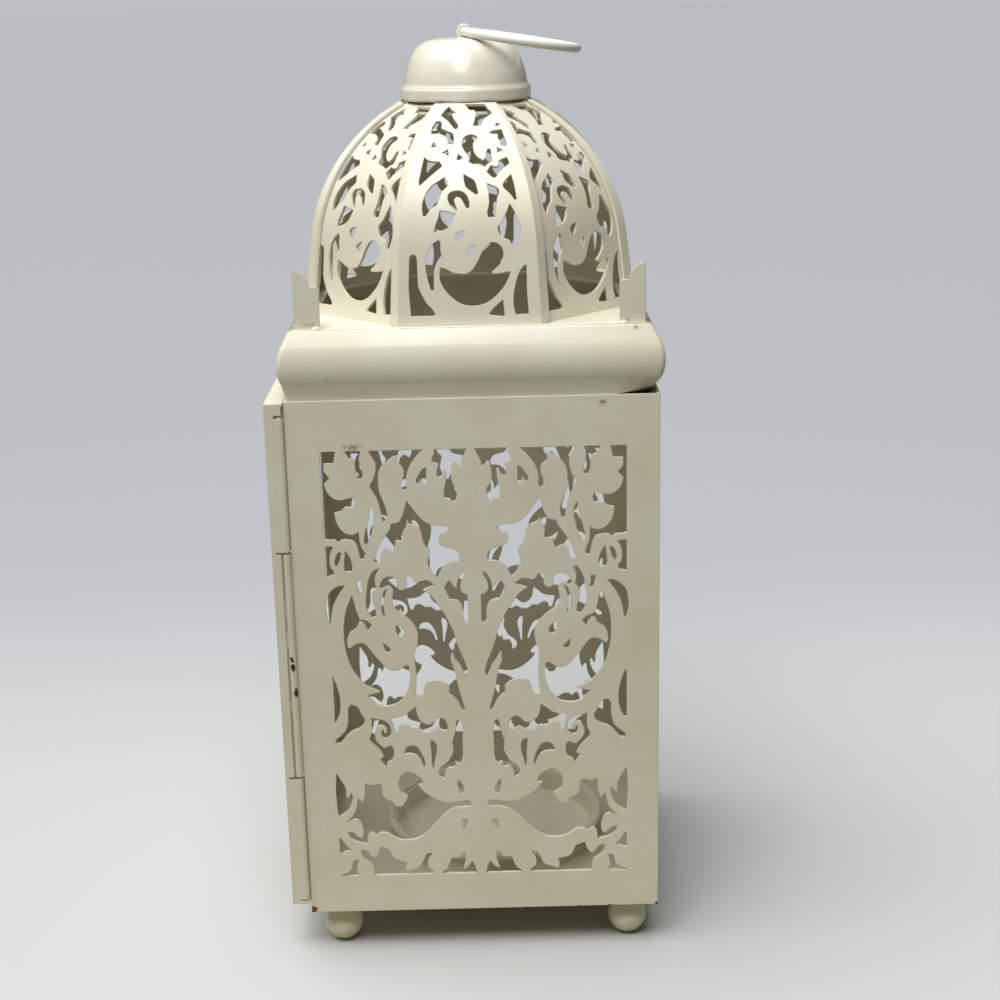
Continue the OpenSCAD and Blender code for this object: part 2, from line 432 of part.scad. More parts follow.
// Openings of a petal. Each point is [share of the foot's width from the middle,
// share of the drawn length from its lower end], in hundredths.
petal_shares = [
    // Slot and foot triangle
    [[-40.7, 28], [-39.8, 29.1], [-38.2, 29.5], [-36.4, 29.1], [-35.5, 28], [-35.3, 17.6],
     [-33.6, 15], [-29.6, 10.8], [-24, 7.2], [-24.4, 6.2], [-40.6, 6.2]],
    // Crescent left of the bird
    [[-20, 34.8], [-18.9, 33.4], [-19.2, 31], [-18.4, 29], [-21.6, 26.8], [-23.6, 24],
     [-24.2, 20.5], [-24.3, 15.8], [-26.3, 15.8], [-28.4, 20], [-29.6, 24], [-29, 28],
     [-26.6, 31.4], [-23.2, 33.8]],
    // Bowl under the bird and the bay behind its breast
    [[-19.6, 24.4], [-16, 23.9], [-11, 22.3], [-6, 21.8], [-1, 22], [3, 23.5], [6, 26],
     [8.6, 29], [12, 32], [16, 33.5], [20.4, 33], [23.6, 31.2], [24.2, 28.6],
     [22, 25.4], [16, 22.5], [16.4, 21.6], [22, 21.7], [29, 22.4], [27, 19.3],
     [23.6, 16.3], [18.4, 13.2], [12, 10.7], [5, 9.7], [-1.4, 9.8], [-7.6, 11.1],
     [-13.6, 13.8], [-18.4, 17.4], [-20.2, 20.6]],
    // Foot cuts right of the ring
    [[13.7, 6.8], [17, 8.8], [23.3, 11.8], [23.9, 8], [24.2, 5.5], [14.3, 6]],
    [[38.6, 24.7], [40, 24.6], [40, 15], [41, 6.2], [32, 6], [30.8, 9], [31, 14.5],
     [32.8, 19], [35.4, 22.6]],
    // The bird's eyes
    [[-0.7, 30.4], [1.2, 31.5], [5.3, 32.8], [5, 30.8], [3.2, 28.6], [0.8, 28.5]],
    [[-9, 35.9], [-7.4, 37.3], [-4.4, 37.9], [-1.5, 38], [-2.6, 35.9], [-5.2, 34],
     [-8, 34.1]],
    // Leaf right of the bird
    [[29.3, 48], [31.5, 46], [34.8, 42], [36.6, 39.5], [36.6, 36.4], [34.4, 32],
     [32.6, 30.8], [31, 31.2], [29.4, 33.8], [25.8, 35], [22.7, 35.6], [20.6, 39.3],
     [24.6, 41.8], [26.6, 44.4]],
    // Stem cut right of the arch
    [[13.9, 56.3], [17.6, 55.4], [21.6, 54], [22.2, 52.4], [20.5, 50], [20.2, 46.4],
     [19.5, 43.2], [14.6, 43], [13.7, 44.6], [15.3, 48.4], [15, 52.4]],
    [[30.8, 59.8], [32.4, 56.2], [33.6, 52.4], [34.2, 49.8], [33, 49.4], [30, 51.8],
     [25.4, 54.3], [24.9, 55.6], [28, 58.2]],
    [[-2, 60.2], [1.6, 59], [5, 57.8], [6.8, 55.2], [7.9, 52.6], [6.4, 51.8],
     [3, 53.2], [-1, 55.3], [-1.8, 57.6]],
    // Arch over the bird's head
    [[-7.4, 45.2], [-9, 46], [-11.6, 48], [-13.3, 50.4], [-12.6, 52.2], [-10, 53.3],
     [-6.4, 53.6], [-2.6, 53], [0.2, 51.4], [1.6, 49], [1.6, 46.9], [-0.4, 46.5],
     [-2.2, 48.6], [-4.2, 50.6], [-7.2, 51.2], [-8.8, 50.2], [-8.2, 48.2], [-7.1, 46.4]],
    // Leaf under the arch
    [[-18.8, 45.9], [-14, 45.5], [-8, 44.6], [-9.4, 42.6], [-12.4, 39.8], [-17, 38.5],
     [-23.2, 37.6], [-22.2, 40.2], [-20, 43.2]],
    // Left crescent of the ring
    [[-30.3, 43.8], [-31, 46], [-30.4, 49.6], [-28, 52.8], [-23.6, 56], [-18.6, 57.8],
     [-15.2, 59.2], [-13.3, 57], [-13.1, 55.6], [-17, 53.4], [-18.9, 50.8],
     [-20.6, 48.4], [-25, 46.5], [-28.8, 43.9]],
    // Upper left field
    [[-29, 67.8], [-25.6, 66.2], [-18.4, 65.8], [-16.5, 63.8], [-20.4, 61.9],
     [-26.6, 58.8], [-32.4, 55.8], [-33, 57.4], [-31.2, 62]],
    [[-5.5, 69], [-2, 67.4], [-4.4, 66.4], [-6.6, 66.4]],
    // Crossed leaves right of the arch
    [[13.9, 61], [17, 63.8], [20, 63.1], [22.6, 63.6], [22.6, 65.8], [28.3, 67.2],
     [30, 64.6], [25, 62], [22, 60.4], [20.2, 58.6], [18.4, 58.5], [15.6, 60]],
    // Large arch
    [[-2.7, 72.6], [-1.4, 70.8], [1.8, 67.4], [1.9, 65.4], [4.4, 64.5], [8.4, 64.1],
     [12.4, 63], [14.8, 64.4], [18.2, 65.6], [17.4, 68.4], [17, 70.8], [15.6, 71.3],
     [14.2, 70.2], [13.8, 67.4], [11.8, 66], [8.2, 67.4], [5.6, 69.8], [4.8, 72.4],
     [5.6, 74.8], [8.3, 76.7], [6.6, 77.8], [3, 78.3], [-0.4, 77.4], [-2.3, 75.2]],
    // Hook on the right
    [[16.3, 78.7], [18, 80], [22, 80.5], [25.2, 80.7], [26.4, 78], [28.5, 73.4],
     [28.2, 72.2], [24, 72.6], [24, 74.4], [22.3, 76.2], [22.4, 78.3], [18.6, 78.4]],
    [[21.4, 71.8], [25.8, 70.5], [21.8, 69.3]],
    [[20.8, 82.3], [21.2, 84.4], [23.4, 84.2], [24.3, 83.3]],
    // Upper arrow under the cap
    [[5, 82.9], [10.8, 82.9], [12.2, 85.6], [15, 88], [18.5, 89.8], [18.4, 91.2],
     [16, 93.6], [13.6, 96.6], [-0.4, 96.8], [2.8, 92.7], [6.6, 92.4], [7.4, 90],
     [6.4, 86]],
    // Upper leaf left of the arrow
    [[-11.5, 95.7], [-9.6, 93.2], [-6.3, 91], [-9.5, 90.4], [-8.6, 88], [-5.4, 84.2],
     [-5.3, 82.1], [-6.9, 81], [-9, 82.4], [-11.6, 85.4], [-17.2, 89.4], [-14.6, 92.6]],
    // Hook on the left
    [[-20.6, 85.9], [-17.8, 86], [-16.4, 84.6], [-17, 82], [-13, 80.4], [-8.8, 79],
     [-8.4, 76.4], [-8.2, 73.5], [-12.6, 73.8], [-12.6, 76], [-15.4, 78.2],
     [-19.6, 79], [-24.2, 79.1], [-23.4, 82.4]],
    [[-24.3, 72.4], [-22.3, 74.9], [-20.3, 72.5]],
    [[-16.8, 69.7], [-12.3, 71.3], [-12, 68.3]]];

// Outline of a finial's leg: shares of its length from the corner and of its height
finial_shares = [[0, 0], [0, 100], [12, 99.4], [26, 97], [39, 92.8], [51, 86.5],
    [59.5, 79.5], [64, 73], [67, 71.8], [92, 71.2], [98.3, 69], [100, 65.5], [100, 0]];

// Outside of the cap above its rim: shares of the rim's radius and of the cap's height
cap_shares = [[95.5, 24.8], [94.2, 32], [90, 50], [82.7, 71], [72.7, 87], [56, 96],
    [32, 99.2], [0, 100]];

function unit(v) = v / norm(v);
function wrapped(p, i) = p[(i + len(p)) % len(p)];

// Direction of an outline at one of its points, along the stretch seg where it turns
// too sharply to be rounded
function heading(p, i, seg) =
    let (a = unit(wrapped(p, i) - wrapped(p, i - 1)), b = unit(wrapped(p, i + 1) - p[i]))
    a * b < cos(corner_turn) ? unit(seg) : unit(a + b);

// A closed outline, with the middle of a cubic added to each stretch that bulges
function rounded(p) = [
    for (i = [0:len(p) - 1])
        let (a = p[i], b = wrapped(p, i + 1), l = norm(b - a),
             u = heading(p, i, b - a) * l,
             v = heading(p, (i + 1) % len(p), b - a) * l,
             bulge = (u - v) / 8)
            each norm(bulge) > least_bulge ? [a, (a + b) / 2 + bulge] : [a]];

// Place of a point of the tree in its window, on the right or on the left half
function tree_point(p, side) = [
    side * p[0] / 100 * win_w / 2 - (side < 0 ? 2 * tree_off * (1 - p[0] / 100) : 0),
    win_h * (1 - p[1] / 100)];

// Window pattern, with its lower middle at the origin
module tree_openings() {
    for (side = [-1, 1], shape = tree_shares)
        polygon(rounded([for (p = shape) tree_point(p, side)]));
}

// A pierced wall: w wide about x = 0, h high from y = 0, its window at win_low
module pierced(w, h, win_low) {
    linear_extrude(sheet)
        difference() {
            translate([-w / 2, 0])
                square([w, h]);
            translate([0, win_low])
                tree_openings();
        }
}

// A wall panel that faces -Y before it is turned, with its outside at half
module wall_panel(w) {
    color(ivory)
        translate([0, sheet - half, wall_z])
            rotate([90, 0, 0])
                pierced(w, body_h, margin_low);
}

module front_panel() { wall_panel(body_w); }

module rear_panel() { rotate([0, 0, 180]) wall_panel(body_w); }

module right_panel() { rotate([0, 0, 90]) wall_panel(body_w - 2 * sheet); }

// Strip of the doorway's frame, from y0 to y1 and from z0 to z1 above the walls' foot
module doorway_strip(y0, y1, z0, z1) {
    color(ivory)
        translate([-half, y0, wall_z + z0])
            cube([sheet, y1 - y0, z1 - z0]);
}

module jamb_front() { doorway_strip(sheet - half, jamb_w - half, 0, body_h); }

module jamb_rear() { doorway_strip(half - jamb_w, half - sheet, 0, body_h); }

module door_sill() { doorway_strip(jamb_w - half, half - jamb_w, 0, margin_low); }

module door_head() { doorway_strip(jamb_w - half, half - jamb_w, body_h - head_h, body_h); }

module base_plate() {
    color(ivory)
        translate([sheet - half, sheet - half, wall_z])
            difference() {
                cube([body_w - 2 * sheet, body_w - 2 * sheet, sheet]);
                for (x = [foot_inset - sheet, body_w - foot_inset - sheet],
                     y = [foot_inset - sheet, body_w - foot_inset - sheet])
                    translate([x, y, -over])
                        cylinder(h = sheet + 2 * over, d = neck_d / 2);
            }
}

// Ball foot with its neck, on the corner that sx and sy give
module foot(sx, sy) {
    color(ivory)
        translate([sx * (half - foot_inset), sy * (half - foot_inset), 0])
            difference() {
                union() {
                    translate([0, 0, foot_d / 2 - foot_flat])
                        sphere(d = foot_d);
                    translate([0, 0, foot_d / 2])
                        cylinder(h = foot_h - foot_d / 2, d = neck_d);
                }
                translate([0, 0, -foot_d])
                    cylinder(h = foot_d, d = 2 * foot_d);
            }
}

// One screw to a foot: its shank fills the base plate's hole, its head is inside
module foot_screws() {
    color(steel)
        for (sx = [-1, 1], sy = [-1, 1])
            translate([sx * (half - foot_inset), sy * (half - foot_inset), wall_z]) {
                cylinder(h = sheet, d = neck_d / 2);
                translate([0, 0, sheet])
                    cylinder(h = screw_head_h, d = screw_head_d);
            }
}

// The door is a shallow pan: a pierced face and four flanges turned in round it
module door_panel() {
    color(ivory)
        translate([door_x + sheet, 0, door_z0])
            rotate([90, 0, -90])
                intersection() {
                    pierced(2 * -flange_y, door_z1 - door_z0, margin_low - door_low);
                    translate([-free_y, 0, 0])
                        cube([free_y - flange_y, door_z1 - door_z0, sheet]);
                }
}

// Level flange of the door, its lower face at z
module level_flange(z) {
    color(ivory)
        translate([door_x + sheet, flange_y, z])
            cube([door_out - sheet - door_gap, free_y - flange_y, sheet]);
}

module door_flange_top() { level_flange(door_z1 - sheet); }

module door_flange_low() { level_flange(door_z0); }

// The free edge's flange holds the latch's pivot
module door_flange_free() {
    color(ivory)
        difference() {
            translate([door_x + sheet, free_y - sheet, door_z0 + sheet])
                cube([free_flange - sheet, sheet, door_z1 - door_z0 - 2 * sheet]);
            translate([latch_x, free_y + over, wall_z + latch_z])
                rotate([90, 0, 0])
                    cylinder(h = sheet + 2 * over, d = rivet_d);
        }
}

// The hinge's flange ends beside the barrel, reaches over it with an ear, and is slit
// above and below the middle knuckle
module door_flange_hinge() {
    ear_z = barrel_z1 + pin_head_h + door_gap;
    color(ivory)
        difference() {
            union() {
                translate([door_x + sheet, flange_y, door_z0 + sheet])
                    cube([flange_end - door_x - sheet, sheet, door_z1 - door_z0 - 2 * sheet]);
                translate([door_x + sheet, flange_y, ear_z])
                    cube([pin_x + ear - door_x - sheet, sheet, door_z1 - sheet - ear_z]);
            }
            for (z = [knuckle_low - knuckle_slit, knuckle_high])
                translate([door_x + sheet + slit_land, flange_y - over, wall_z + z])
                    cube([door_out, sheet + 2 * over, knuckle_slit]);
        }
}

// A rolled knuckle from z0 to z1, round the pin
module barrel(z0, z1) {
    translate([pin_x, pin_y, z0])
        difference() {
            cylinder(h = z1 - z0, r = knuckle_r);
            translate([0, 0, -over])
                cylinder(h = z1 - z0 + 2 * over, r = pin_d / 2 + pin_play);
        }
}

// A door knuckle and the strip that joins it to the door's front flange
module door_knuckle(z0, z1) {
    color(ivory) {
        barrel(z0, z1);
        difference() {
            translate([flange_end, flange_y, z0])
                cube([pin_x - flange_end, sheet, z1 - z0]);
            translate([pin_x, pin_y, z0 - over])
                cylinder(h = z1 - z0 + 2 * over, r = knuckle_r - knuckle_wall / 2);
        }
    }
}

module door_knuckle_top() { door_knuckle(wall_z + knuckle_high + knuckle_slit, barrel_z1); }

module door_knuckle_low() { door_knuckle(barrel_z0, wall_z + knuckle_low - knuckle_slit); }

// The middle knuckle, with the tongue that fixes it to the front panel's edge
module body_knuckle() {
    color(ivory) {
        barrel(wall_z + knuckle_low, wall_z + knuckle_high);
        difference() {
            translate([pin_x, -half, wall_z + knuckle_low])
                cube([hinge_out, sheet, knuckle_high - knuckle_low]);
            translate([pin_x, pin_y, wall_z])
                cylinder(h = body_h, r = knuckle_r - knuckle_wall / 2);
        }
    }
}

module hinge_pin() {
    color(steel)
        translate([pin_x, pin_y, barrel_z0]) {
            cylinder(h = barrel_z1 - barrel_z0, d = pin_d);
            translate([0, 0, barrel_z1 - barrel_z0])
                cylinder(h = pin_head_h, d = pin_head_d);
        }
}

// A rivet that stands on the y = 0 plane, points to +Y and has its head at reach
module rivet(reach) {
    rotate([-90, 0, 0]) {
        cylinder(h = reach, d = rivet_d);
        translate([0, 0, reach])
            cylinder(h = rivet_head_h, d = rivet_head_d);
    }
}

module latch_pivot() {
    color(steel)
        translate([latch_x, free_y - sheet, wall_z + latch_z]) {
            rivet(head_y - free_y + sheet);
            rotate([90, 0, 0])
                cylinder(h = rivet_head_h, d = rivet_tail_d);
        }
}

module latch_stud() {
    color(steel)
        translate([latch_x + latch_reach, half, wall_z + latch_z])
            rivet(head_y - half);
}

// The hook hangs open from its pivot and swings up over the stud
module latch_hook() {
    color(steel)
        translate([latch_x, hook_y1, wall_z + latch_z])
            rotate([90, 0, 0])
                difference() {
                    union() {
                        cylinder(h = sheet, d = hook_w);
                        translate([-hook_w / 2, -latch_reach - hook_tail])
                            cube([hook_w, latch_reach + hook_tail, sheet]);
                    }
                    translate([0, 0, -over])
                        cylinder(h = sheet + 2 * over, r = rivet_d / 2 + pin_play);
                    translate([0, -latch_reach, -over]) {
                        cylinder(h = sheet + 2 * over, r = rivet_d / 2 + slot_play);
                        translate([0, -rivet_d / 2 - slot_play, 0])
                            cube([hook_w, rivet_d + 2 * slot_play, sheet + 2 * over]);
                    }
                }
}

// Outline of the cornice moved in by t: a leaning band under a half-round.
// x is the distance from the lantern's middle, y the height above the walls.
module cornice_solid(t) {
    band_x = round_x + sqrt(pow(round_r, 2) - pow(round_z - band_h, 2));
    polygon([[0, 0], [half - band_in - t, 0], [band_x - t, band_h], [0, band_h]]);
    intersection() {
        translate([round_x, round_z])
            circle(r = round_r - t);
        translate([0, band_h])
            square([body_w, cornice_h - band_h]);
    }
    translate([0, band_h])
        square([round_x, cornice_h - band_h]);
}

// One rail of the cornice, mitred at both ends, facing -Y before it is turned
module cornice_rail(turn) {
    color(ivory)
        rotate([0, 0, turn])
            intersection() {
                translate([body_w / 2 + body_w, 0, wall_top])
                    rotate([90, 0, -90])
                        linear_extrude(2 * body_w + body_w)
                            difference() {
                                cornice_solid(0);
                                cornice_solid(sheet);
                            }
                translate([0, 0, wall_top])
                    linear_extrude(cornice_h)
                        polygon([[0, 0], [-body_w, -body_w], [body_w, -body_w]]);
            }
}

module cornice_front() { cornice_rail(0); }

module cornice_right() { cornice_rail(90); }

module cornice_rear() { cornice_rail(180); }

module cornice_left() { cornice_rail(270); }

module top_plate() {
    color(ivory)
        translate([0, 0, cornice_z])
            linear_extrude(sheet)
                difference() {
                    square([2 * plate_edge, 2 * plate_edge], center = true);
                    rotate(22.5)
                        circle(r = (dome_r - sheet - ledge) / cos(22.5), $fn = 8);
                }
}

// A finial is one L-shaped strip whose two legs sweep up to a point at the corner
module finial(turn) {
    leg = [for (p = finial_shares) [p[0] / 100 * finial_leg, p[1] / 100 * finial_h]];
    color(ivory)
        rotate([0, 0, turn])
            translate([-finial_edge, -finial_edge, plate_z]) {
                translate([0, sheet, 0])
                    rotate([90, 0, 0])
                        linear_extrude(sheet)
                            polygon(leg);
                rotate([90, 0, 90])
                    linear_extrude(sheet)
                        polygon(leg);
            }
}

module finial_front_left() { finial(0); }

module finial_front_right() { finial(90); }

module finial_rear_right() { finial(180); }

module finial_rear_left() { finial(270); }

// Angle from level of a petal's outward normal, s along the petal from its foot
function petal_angle(s) =
    s < petal_foot ? petal_lean : petal_lean + (s - petal_foot) / petal_r * 180 / PI;

// Place of a point of a petal, s along it from its foot: [distance from axis, height]
function petal_place(s) = s < petal_foot
    ? [dome_r - s * sin(petal_lean), plate_z + s * cos(petal_lean)]
    : [bend_cr + petal_r * cos(petal_angle(s)), bend_cz + petal_r * sin(petal_angle(s))];

function petal_point(p) = [p[0] / 100 * draw_w, p[1] / 100 * draw_len - pattern_drop];

function middle(v) = (max(v) + min(v)) / 2;

// One opening of a petal: a prism along the petal's normal at the opening's middle,
// its outline laid out along the bend and seen along that normal
module petal_opening(shape) {
    flat = rounded([for (p = shape) petal_point(p)]);
    s_mid = middle([for (p = flat) p[1]]);
    a = petal_angle(s_mid);
    mid = petal_place(s_mid);
    depth = 4 * sheet;
    translate([0, -mid[0], mid[1]])
        rotate([90 - a, 0, 0])
            translate([0, 0, -depth])
                linear_extrude(2 * depth)
                    polygon([for (p = flat)
                        let (d = petal_place(p[1]) - mid)
                        [p[0], -d[0] * sin(a) + d[1] * cos(a)]]);
}

// Filled profile of the dome, drop under its outside. x is the distance from the axis
// and y the height. The part under the bend runs up into it, so that the two join.
module dome_profile(drop) {
    r = petal_r - drop;
    bend_foot = [bend_cr + r * cos(petal_lean), bend_cz + r * sin(petal_lean)];
    inside = [bend_cr + r / 2, bend_cz + r / 2];
    intersection() {
        translate([bend_cr, bend_cz])
            circle(r = r);
        polygon([[bend_cr, bend_cz], 2 * bend_foot - [bend_cr, bend_cz],
                 [body_w, bend_cz + body_w], [bend_cr, bend_cz + body_w]]);
    }
    polygon([[0, plate_z], [dome_r - drop / cos(petal_lean), plate_z], bend_foot,
             inside, [0, inside[1]]]);
}

// Sheet of the dome's face to -Y, drop under its outside, over a plan outline that the
// children give
module dome_sheet(drop) {
    intersection() {
        translate([body_w, 0, 0])
            rotate([90, 0, -90])
                linear_extrude(2 * body_w)
                    difference() {
                        dome_profile(drop);
                        dome_profile(drop + sheet);
                    }
        translate([0, 0, plate_z - over])
            linear_extrude(body_w)
                children();
    }
}

// Half the width of an eighth of the dome at distance d, less a gap at its side
function eighth_half(d, gap) = d * tan(22.5) - gap / cos(22.5);

// Plan of a petal to -Y that ends at both folds, or a gap before them, and at end_r
module plain_plan(gap, end_r) {
    near = eighth_half(end_r, gap);
    far = eighth_half(body_w, gap);
    polygon([[-near, -end_r], [near, -end_r], [far, -body_w], [-far, -body_w]]);
}

// Plan of a flange on a face to -Y, beside its left (side 1) or right (side -1) fold.
// It narrows with the face, toward the axis.
module flange_plan(side) {
    taper = petal_flange / dome_r;
    polygon([for (p = [[petal_top_r, 0], [petal_top_r, taper * petal_top_r],
                       [body_w, taper * body_w], [body_w, 0]])
        [-side * eighth_half(p[0], p[1]), -p[0]]]);
}

// Cut that rounds the free lower corner of such a flange
module flange_corner(side) {
    edge = -side * eighth_half(dome_r, petal_flange);
    inner = edge - side * flange_round;
    outer = edge + side * over;
    translate([0, -dome_r, plate_z])
        rotate([90 - petal_lean, 0, 0])
            translate([0, 0, -2 * sheet])
                linear_extrude(4 * sheet)
                    difference() {
                        translate([min(inner, outer), -over])
                            square([flange_round + over, flange_round + over]);
                        translate([inner, flange_round])
                            circle(r = flange_round);
                    }
}

// A petal between two main ones lies under their flanges
module side_petal(turn) {
    color(ivory)
        rotate([0, 0, turn])
            difference() {
                dome_sheet(sheet + petal_gap)
                    plain_plan(petal_gap, petal_top_r - petal_tuck);
                for (shape = petal_shares)
                    petal_opening(shape);
            }
}

// A main petal has a flange along each side, bent onto the next petal
module main_petal(turn) {
    color(ivory)
        rotate([0, 0, turn]) {
            difference() {
                dome_sheet(0)
                    plain_plan(0, petal_top_r);
                for (shape = petal_shares)
                    petal_opening(shape);
            }
            for (side = [-1, 1])
                rotate([0, 0, side * 45])
                    difference() {
                        dome_sheet(0)
                            flange_plan(side);
                        flange_corner(side);
                    }
        }
}

module petal_front() { main_petal(0); }

module petal_right() { main_petal(90); }

module petal_rear() { main_petal(180); }

module petal_left() { main_petal(270); }

module petal_front_right() { side_petal(45); }

module petal_rear_right() { side_petal(135); }

module petal_rear_left() { side_petal(225); }

module petal_front_left() { side_petal(315); }

// Eight-sided plate inside the tops of the petals, with four vents
module dome_collar() {
    color(ivory)
        translate([0, 0, collar_top - sheet])
            difference() {
                rotate([0, 0, 22.5])
                    cylinder(h = sheet, r = collar_r / cos(22.5), $fn = 8);
                translate([0, 0, -over]) {
                    cylinder(h = sheet + 2 * over, d = stem_d + 2 * stem_play);
                    for (i = [0:3])
                        rotate([0, 0, i * 90 + 45])
                            translate([vent_ring, 0, 0])
                                cylinder(h = sheet + 2 * over, d = vent_d);
                }
            }
}

// The cap is a spun shell with a rolled rim
module cap() {
    side = [for (p = cap_shares) [p[0] / 100 * rim_r, p[1] / 100 * cap_h]];
    inside = [for (i = [len(side) - 1:-1:0]) [max(0, side[i][0] - sheet), side[i][1] - sheet]];
    color(ivory)
        translate([0, 0, cap_z])
            difference() {
                rotate_extrude() {
                    polygon(concat([[rim_r - sheet, 0], [rim_r, 0], [rim_r, rim_h]],
                                   side, inside));
                }
                cylinder(h = 2 * cap_h, d = stem_d + 2 * stem_play);
            }
}

// Wire eye on a threaded stem that runs down through the cap and the collar
module cap_eye() {
    loop_r = eye_in + eye_wire / 2;
    color(ivory)
        translate([0, 0, eye_c]) {
            rotate([90, 0, 0])
                rotate_extrude()
                    translate([loop_r, 0])
                        circle(d = eye_wire);
            translate([0, 0, -(eye_c - collar_top) - sheet - nut_h - over])
                cylinder(h = eye_c - collar_top + sheet + nut_h + over - loop_r, d = stem_d);
        }
}

module eye_nut() {
    color(steel)
        translate([0, 0, collar_top - sheet - nut_h])
            difference() {
                cylinder(h = nut_h, d = nut_w, $fn = 6);
                translate([0, 0, -over])
                    cylinder(h = nut_h + 2 * over, d = stem_d + stem_play);
            }
}

// The ring hangs in the eye and lies down to the right on the cap's shoulder
module carry_ring() {
    color(ivory)
        translate([0, 0, eye_c])
            rotate([0, ring_tilt, 0])
                translate([ring_r, 0, 0])
                    rotate_extrude()
                        translate([ring_r, 0])
                            circle(d = ring_wire, $fn = 48);
}

// Shallow dish with a rolled rim that stands loose on the base
module candle_dish() {
    color(ivory)
        translate([dish_x, dish_y, wall_z + sheet])
            rotate_extrude() {
                square([dish_d / 2 - 2 * dish_bead, sheet]);
                translate([dish_d / 2 - 2 * dish_bead - sheet, 0])
                    square([sheet, dish_h - dish_bead]);
                translate([dish_d / 2 - dish_bead, dish_h - dish_bead])
                    circle(r = dish_bead + sheet / 4, $fn = 48);
            }
}

base_plate();
foot(-1, -1);  // foot_front_left
foot(1, -1);  // foot_front_right
foot(-1, 1);  // foot_rear_left
foot(1, 1);  // foot_rear_right
foot_screws();
front_panel();
right_panel();
rear_panel();
jamb_front();
jamb_rear();
door_sill();
door_head();
door_panel();
door_flange_top();
door_flange_low();
door_flange_free();
door_flange_hinge();
door_knuckle_top();
door_knuckle_low();
body_knuckle();
hinge_pin();
latch_pivot();
latch_hook();
latch_stud();
cornice_front();
cornice_right();
cornice_rear();
cornice_left();
top_plate();
finial_front_left();
finial_front_right();
finial_rear_left();
finial_rear_right();
petal_front();
petal_front_right();
petal_right();
petal_rear_right();
petal_rear();
petal_rear_left();
petal_left();
petal_front_left();
dome_collar();
cap();
cap_eye();
eye_nut();
carry_ring();
candle_dish();
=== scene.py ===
"""Looks of an ivory enamelled lantern of pierced sheet steel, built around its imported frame.

Lengths are metres, written as millimetres times MM. The floor is z = 0, the lantern's
middle stands at x = y = 0 and its front faces -Y.
"""

import logging
import math
from collections.abc import Sequence
from dataclasses import dataclass
from enum import Enum
from functools import cache

import bmesh
import bpy
from bpy.types import ID, Light, Material, Mesh, Node, NodeSocket, NodeTree, Object, World
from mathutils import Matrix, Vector, noise


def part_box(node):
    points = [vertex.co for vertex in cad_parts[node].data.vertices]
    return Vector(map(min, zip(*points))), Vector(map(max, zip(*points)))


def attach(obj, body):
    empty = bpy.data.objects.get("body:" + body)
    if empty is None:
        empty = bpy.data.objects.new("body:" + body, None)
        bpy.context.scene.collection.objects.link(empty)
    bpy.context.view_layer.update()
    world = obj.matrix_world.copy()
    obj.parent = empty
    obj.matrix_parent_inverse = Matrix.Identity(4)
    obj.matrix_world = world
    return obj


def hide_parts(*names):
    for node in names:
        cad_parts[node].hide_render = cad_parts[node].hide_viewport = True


log = logging.getLogger("lantern")
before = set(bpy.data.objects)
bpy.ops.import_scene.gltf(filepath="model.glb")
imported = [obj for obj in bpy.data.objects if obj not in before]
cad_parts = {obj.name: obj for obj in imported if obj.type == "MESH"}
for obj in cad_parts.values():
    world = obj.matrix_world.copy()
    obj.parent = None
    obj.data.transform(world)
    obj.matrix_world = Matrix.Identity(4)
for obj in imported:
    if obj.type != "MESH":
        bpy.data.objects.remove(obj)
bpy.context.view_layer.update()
MM = 0.001
TURN = 2 * math.pi
# Vertices closer together than this are one
WELD = 0.001 * MM
# Angles in degrees past which an edge stays sharp, on a piece made here and on sheet
CREASE = 40.0
SHEET_CREASE = 28.0
# Thickness of the lantern's sheet
SHEET = 1 * MM
RGBA = {"data_type": "RGBA"}
SMOOTH = {"interpolation_type": "SMOOTHSTEP"}

Pair = tuple[float, float]
Triple = tuple[float, float, float]
Profile = list[Pair]
Solid = tuple[list[Vector], list[tuple[int, ...]]]


def mm(*points: tuple[float, ...]) -> tuple[tuple[float, ...], ...]:
    """Turns points in millimetres into metres."""
    return tuple(tuple(v * MM for v in point) for point in points)


def linear(code: str) -> tuple[float, ...]:
    """Turns an sRGB hex colour into the linear colour that a shader takes.

    Args:
        code: Colour such as "#E9E3CE".

    Returns:
        Linear red, green, blue and an alpha of 1.
    """
    shares = [int(code[i:i + 2], 16) / 255 for i in (1, 3, 5)]
    flat = [s / 12.92 if s <= 0.04045 else ((s + 0.055) / 1.055) ** 2.4 for s in shares]
    return (*flat, 1.0)


def add(tree: NodeTree, kind: str, inputs: dict | None = None, **settings: object) -> Node:
    """Adds one node to a shader or geometry tree.

    Args:
        tree: Tree that takes the node.
        kind: Blender's name of the node's type, where ShaderNode may be left out.
        inputs: Values, sockets or nodes for its inputs, by name or place. A node gives
            its first live output.
        settings: Values of the node's own properties.

    Returns:
        The new node.
    """
    node = tree.nodes.new(kind if "Node" in kind else "ShaderNode" + kind)
    for name, value in settings.items():
        setattr(node, name, value)
    for key, value in (inputs or {}).items():
        if isinstance(value, Node):
            value = next(socket for socket in value.outputs if socket.enabled)
        if isinstance(value, NodeSocket):
            tree.links.new(value, node.inputs[key])
        else:
            node.inputs[key].default_value = value
    return node


def cleared(owner: Material | World) -> NodeTree:
    """Turns on the nodes of a material or a world and empties its tree."""
    owner.use_nodes = True
    owner.node_tree.nodes.clear()
    return owner.node_tree


def linked(name: str, data: ID) -> Object:
    """Makes an object of its data and puts it in the scene."""
    made = bpy.data.objects.new(name, data)
    bpy.context.scene.collection.objects.link(made)
    return made


class Body(Enum):
    """Bodies of the frame that the pieces made here move with."""

    LANTERN = "lantern"
    DOOR = "door"


class Slot(Enum):
    """Material slots of the record."""

    PAINT = "ivory_paint"
    STEEL = "worn_steel"


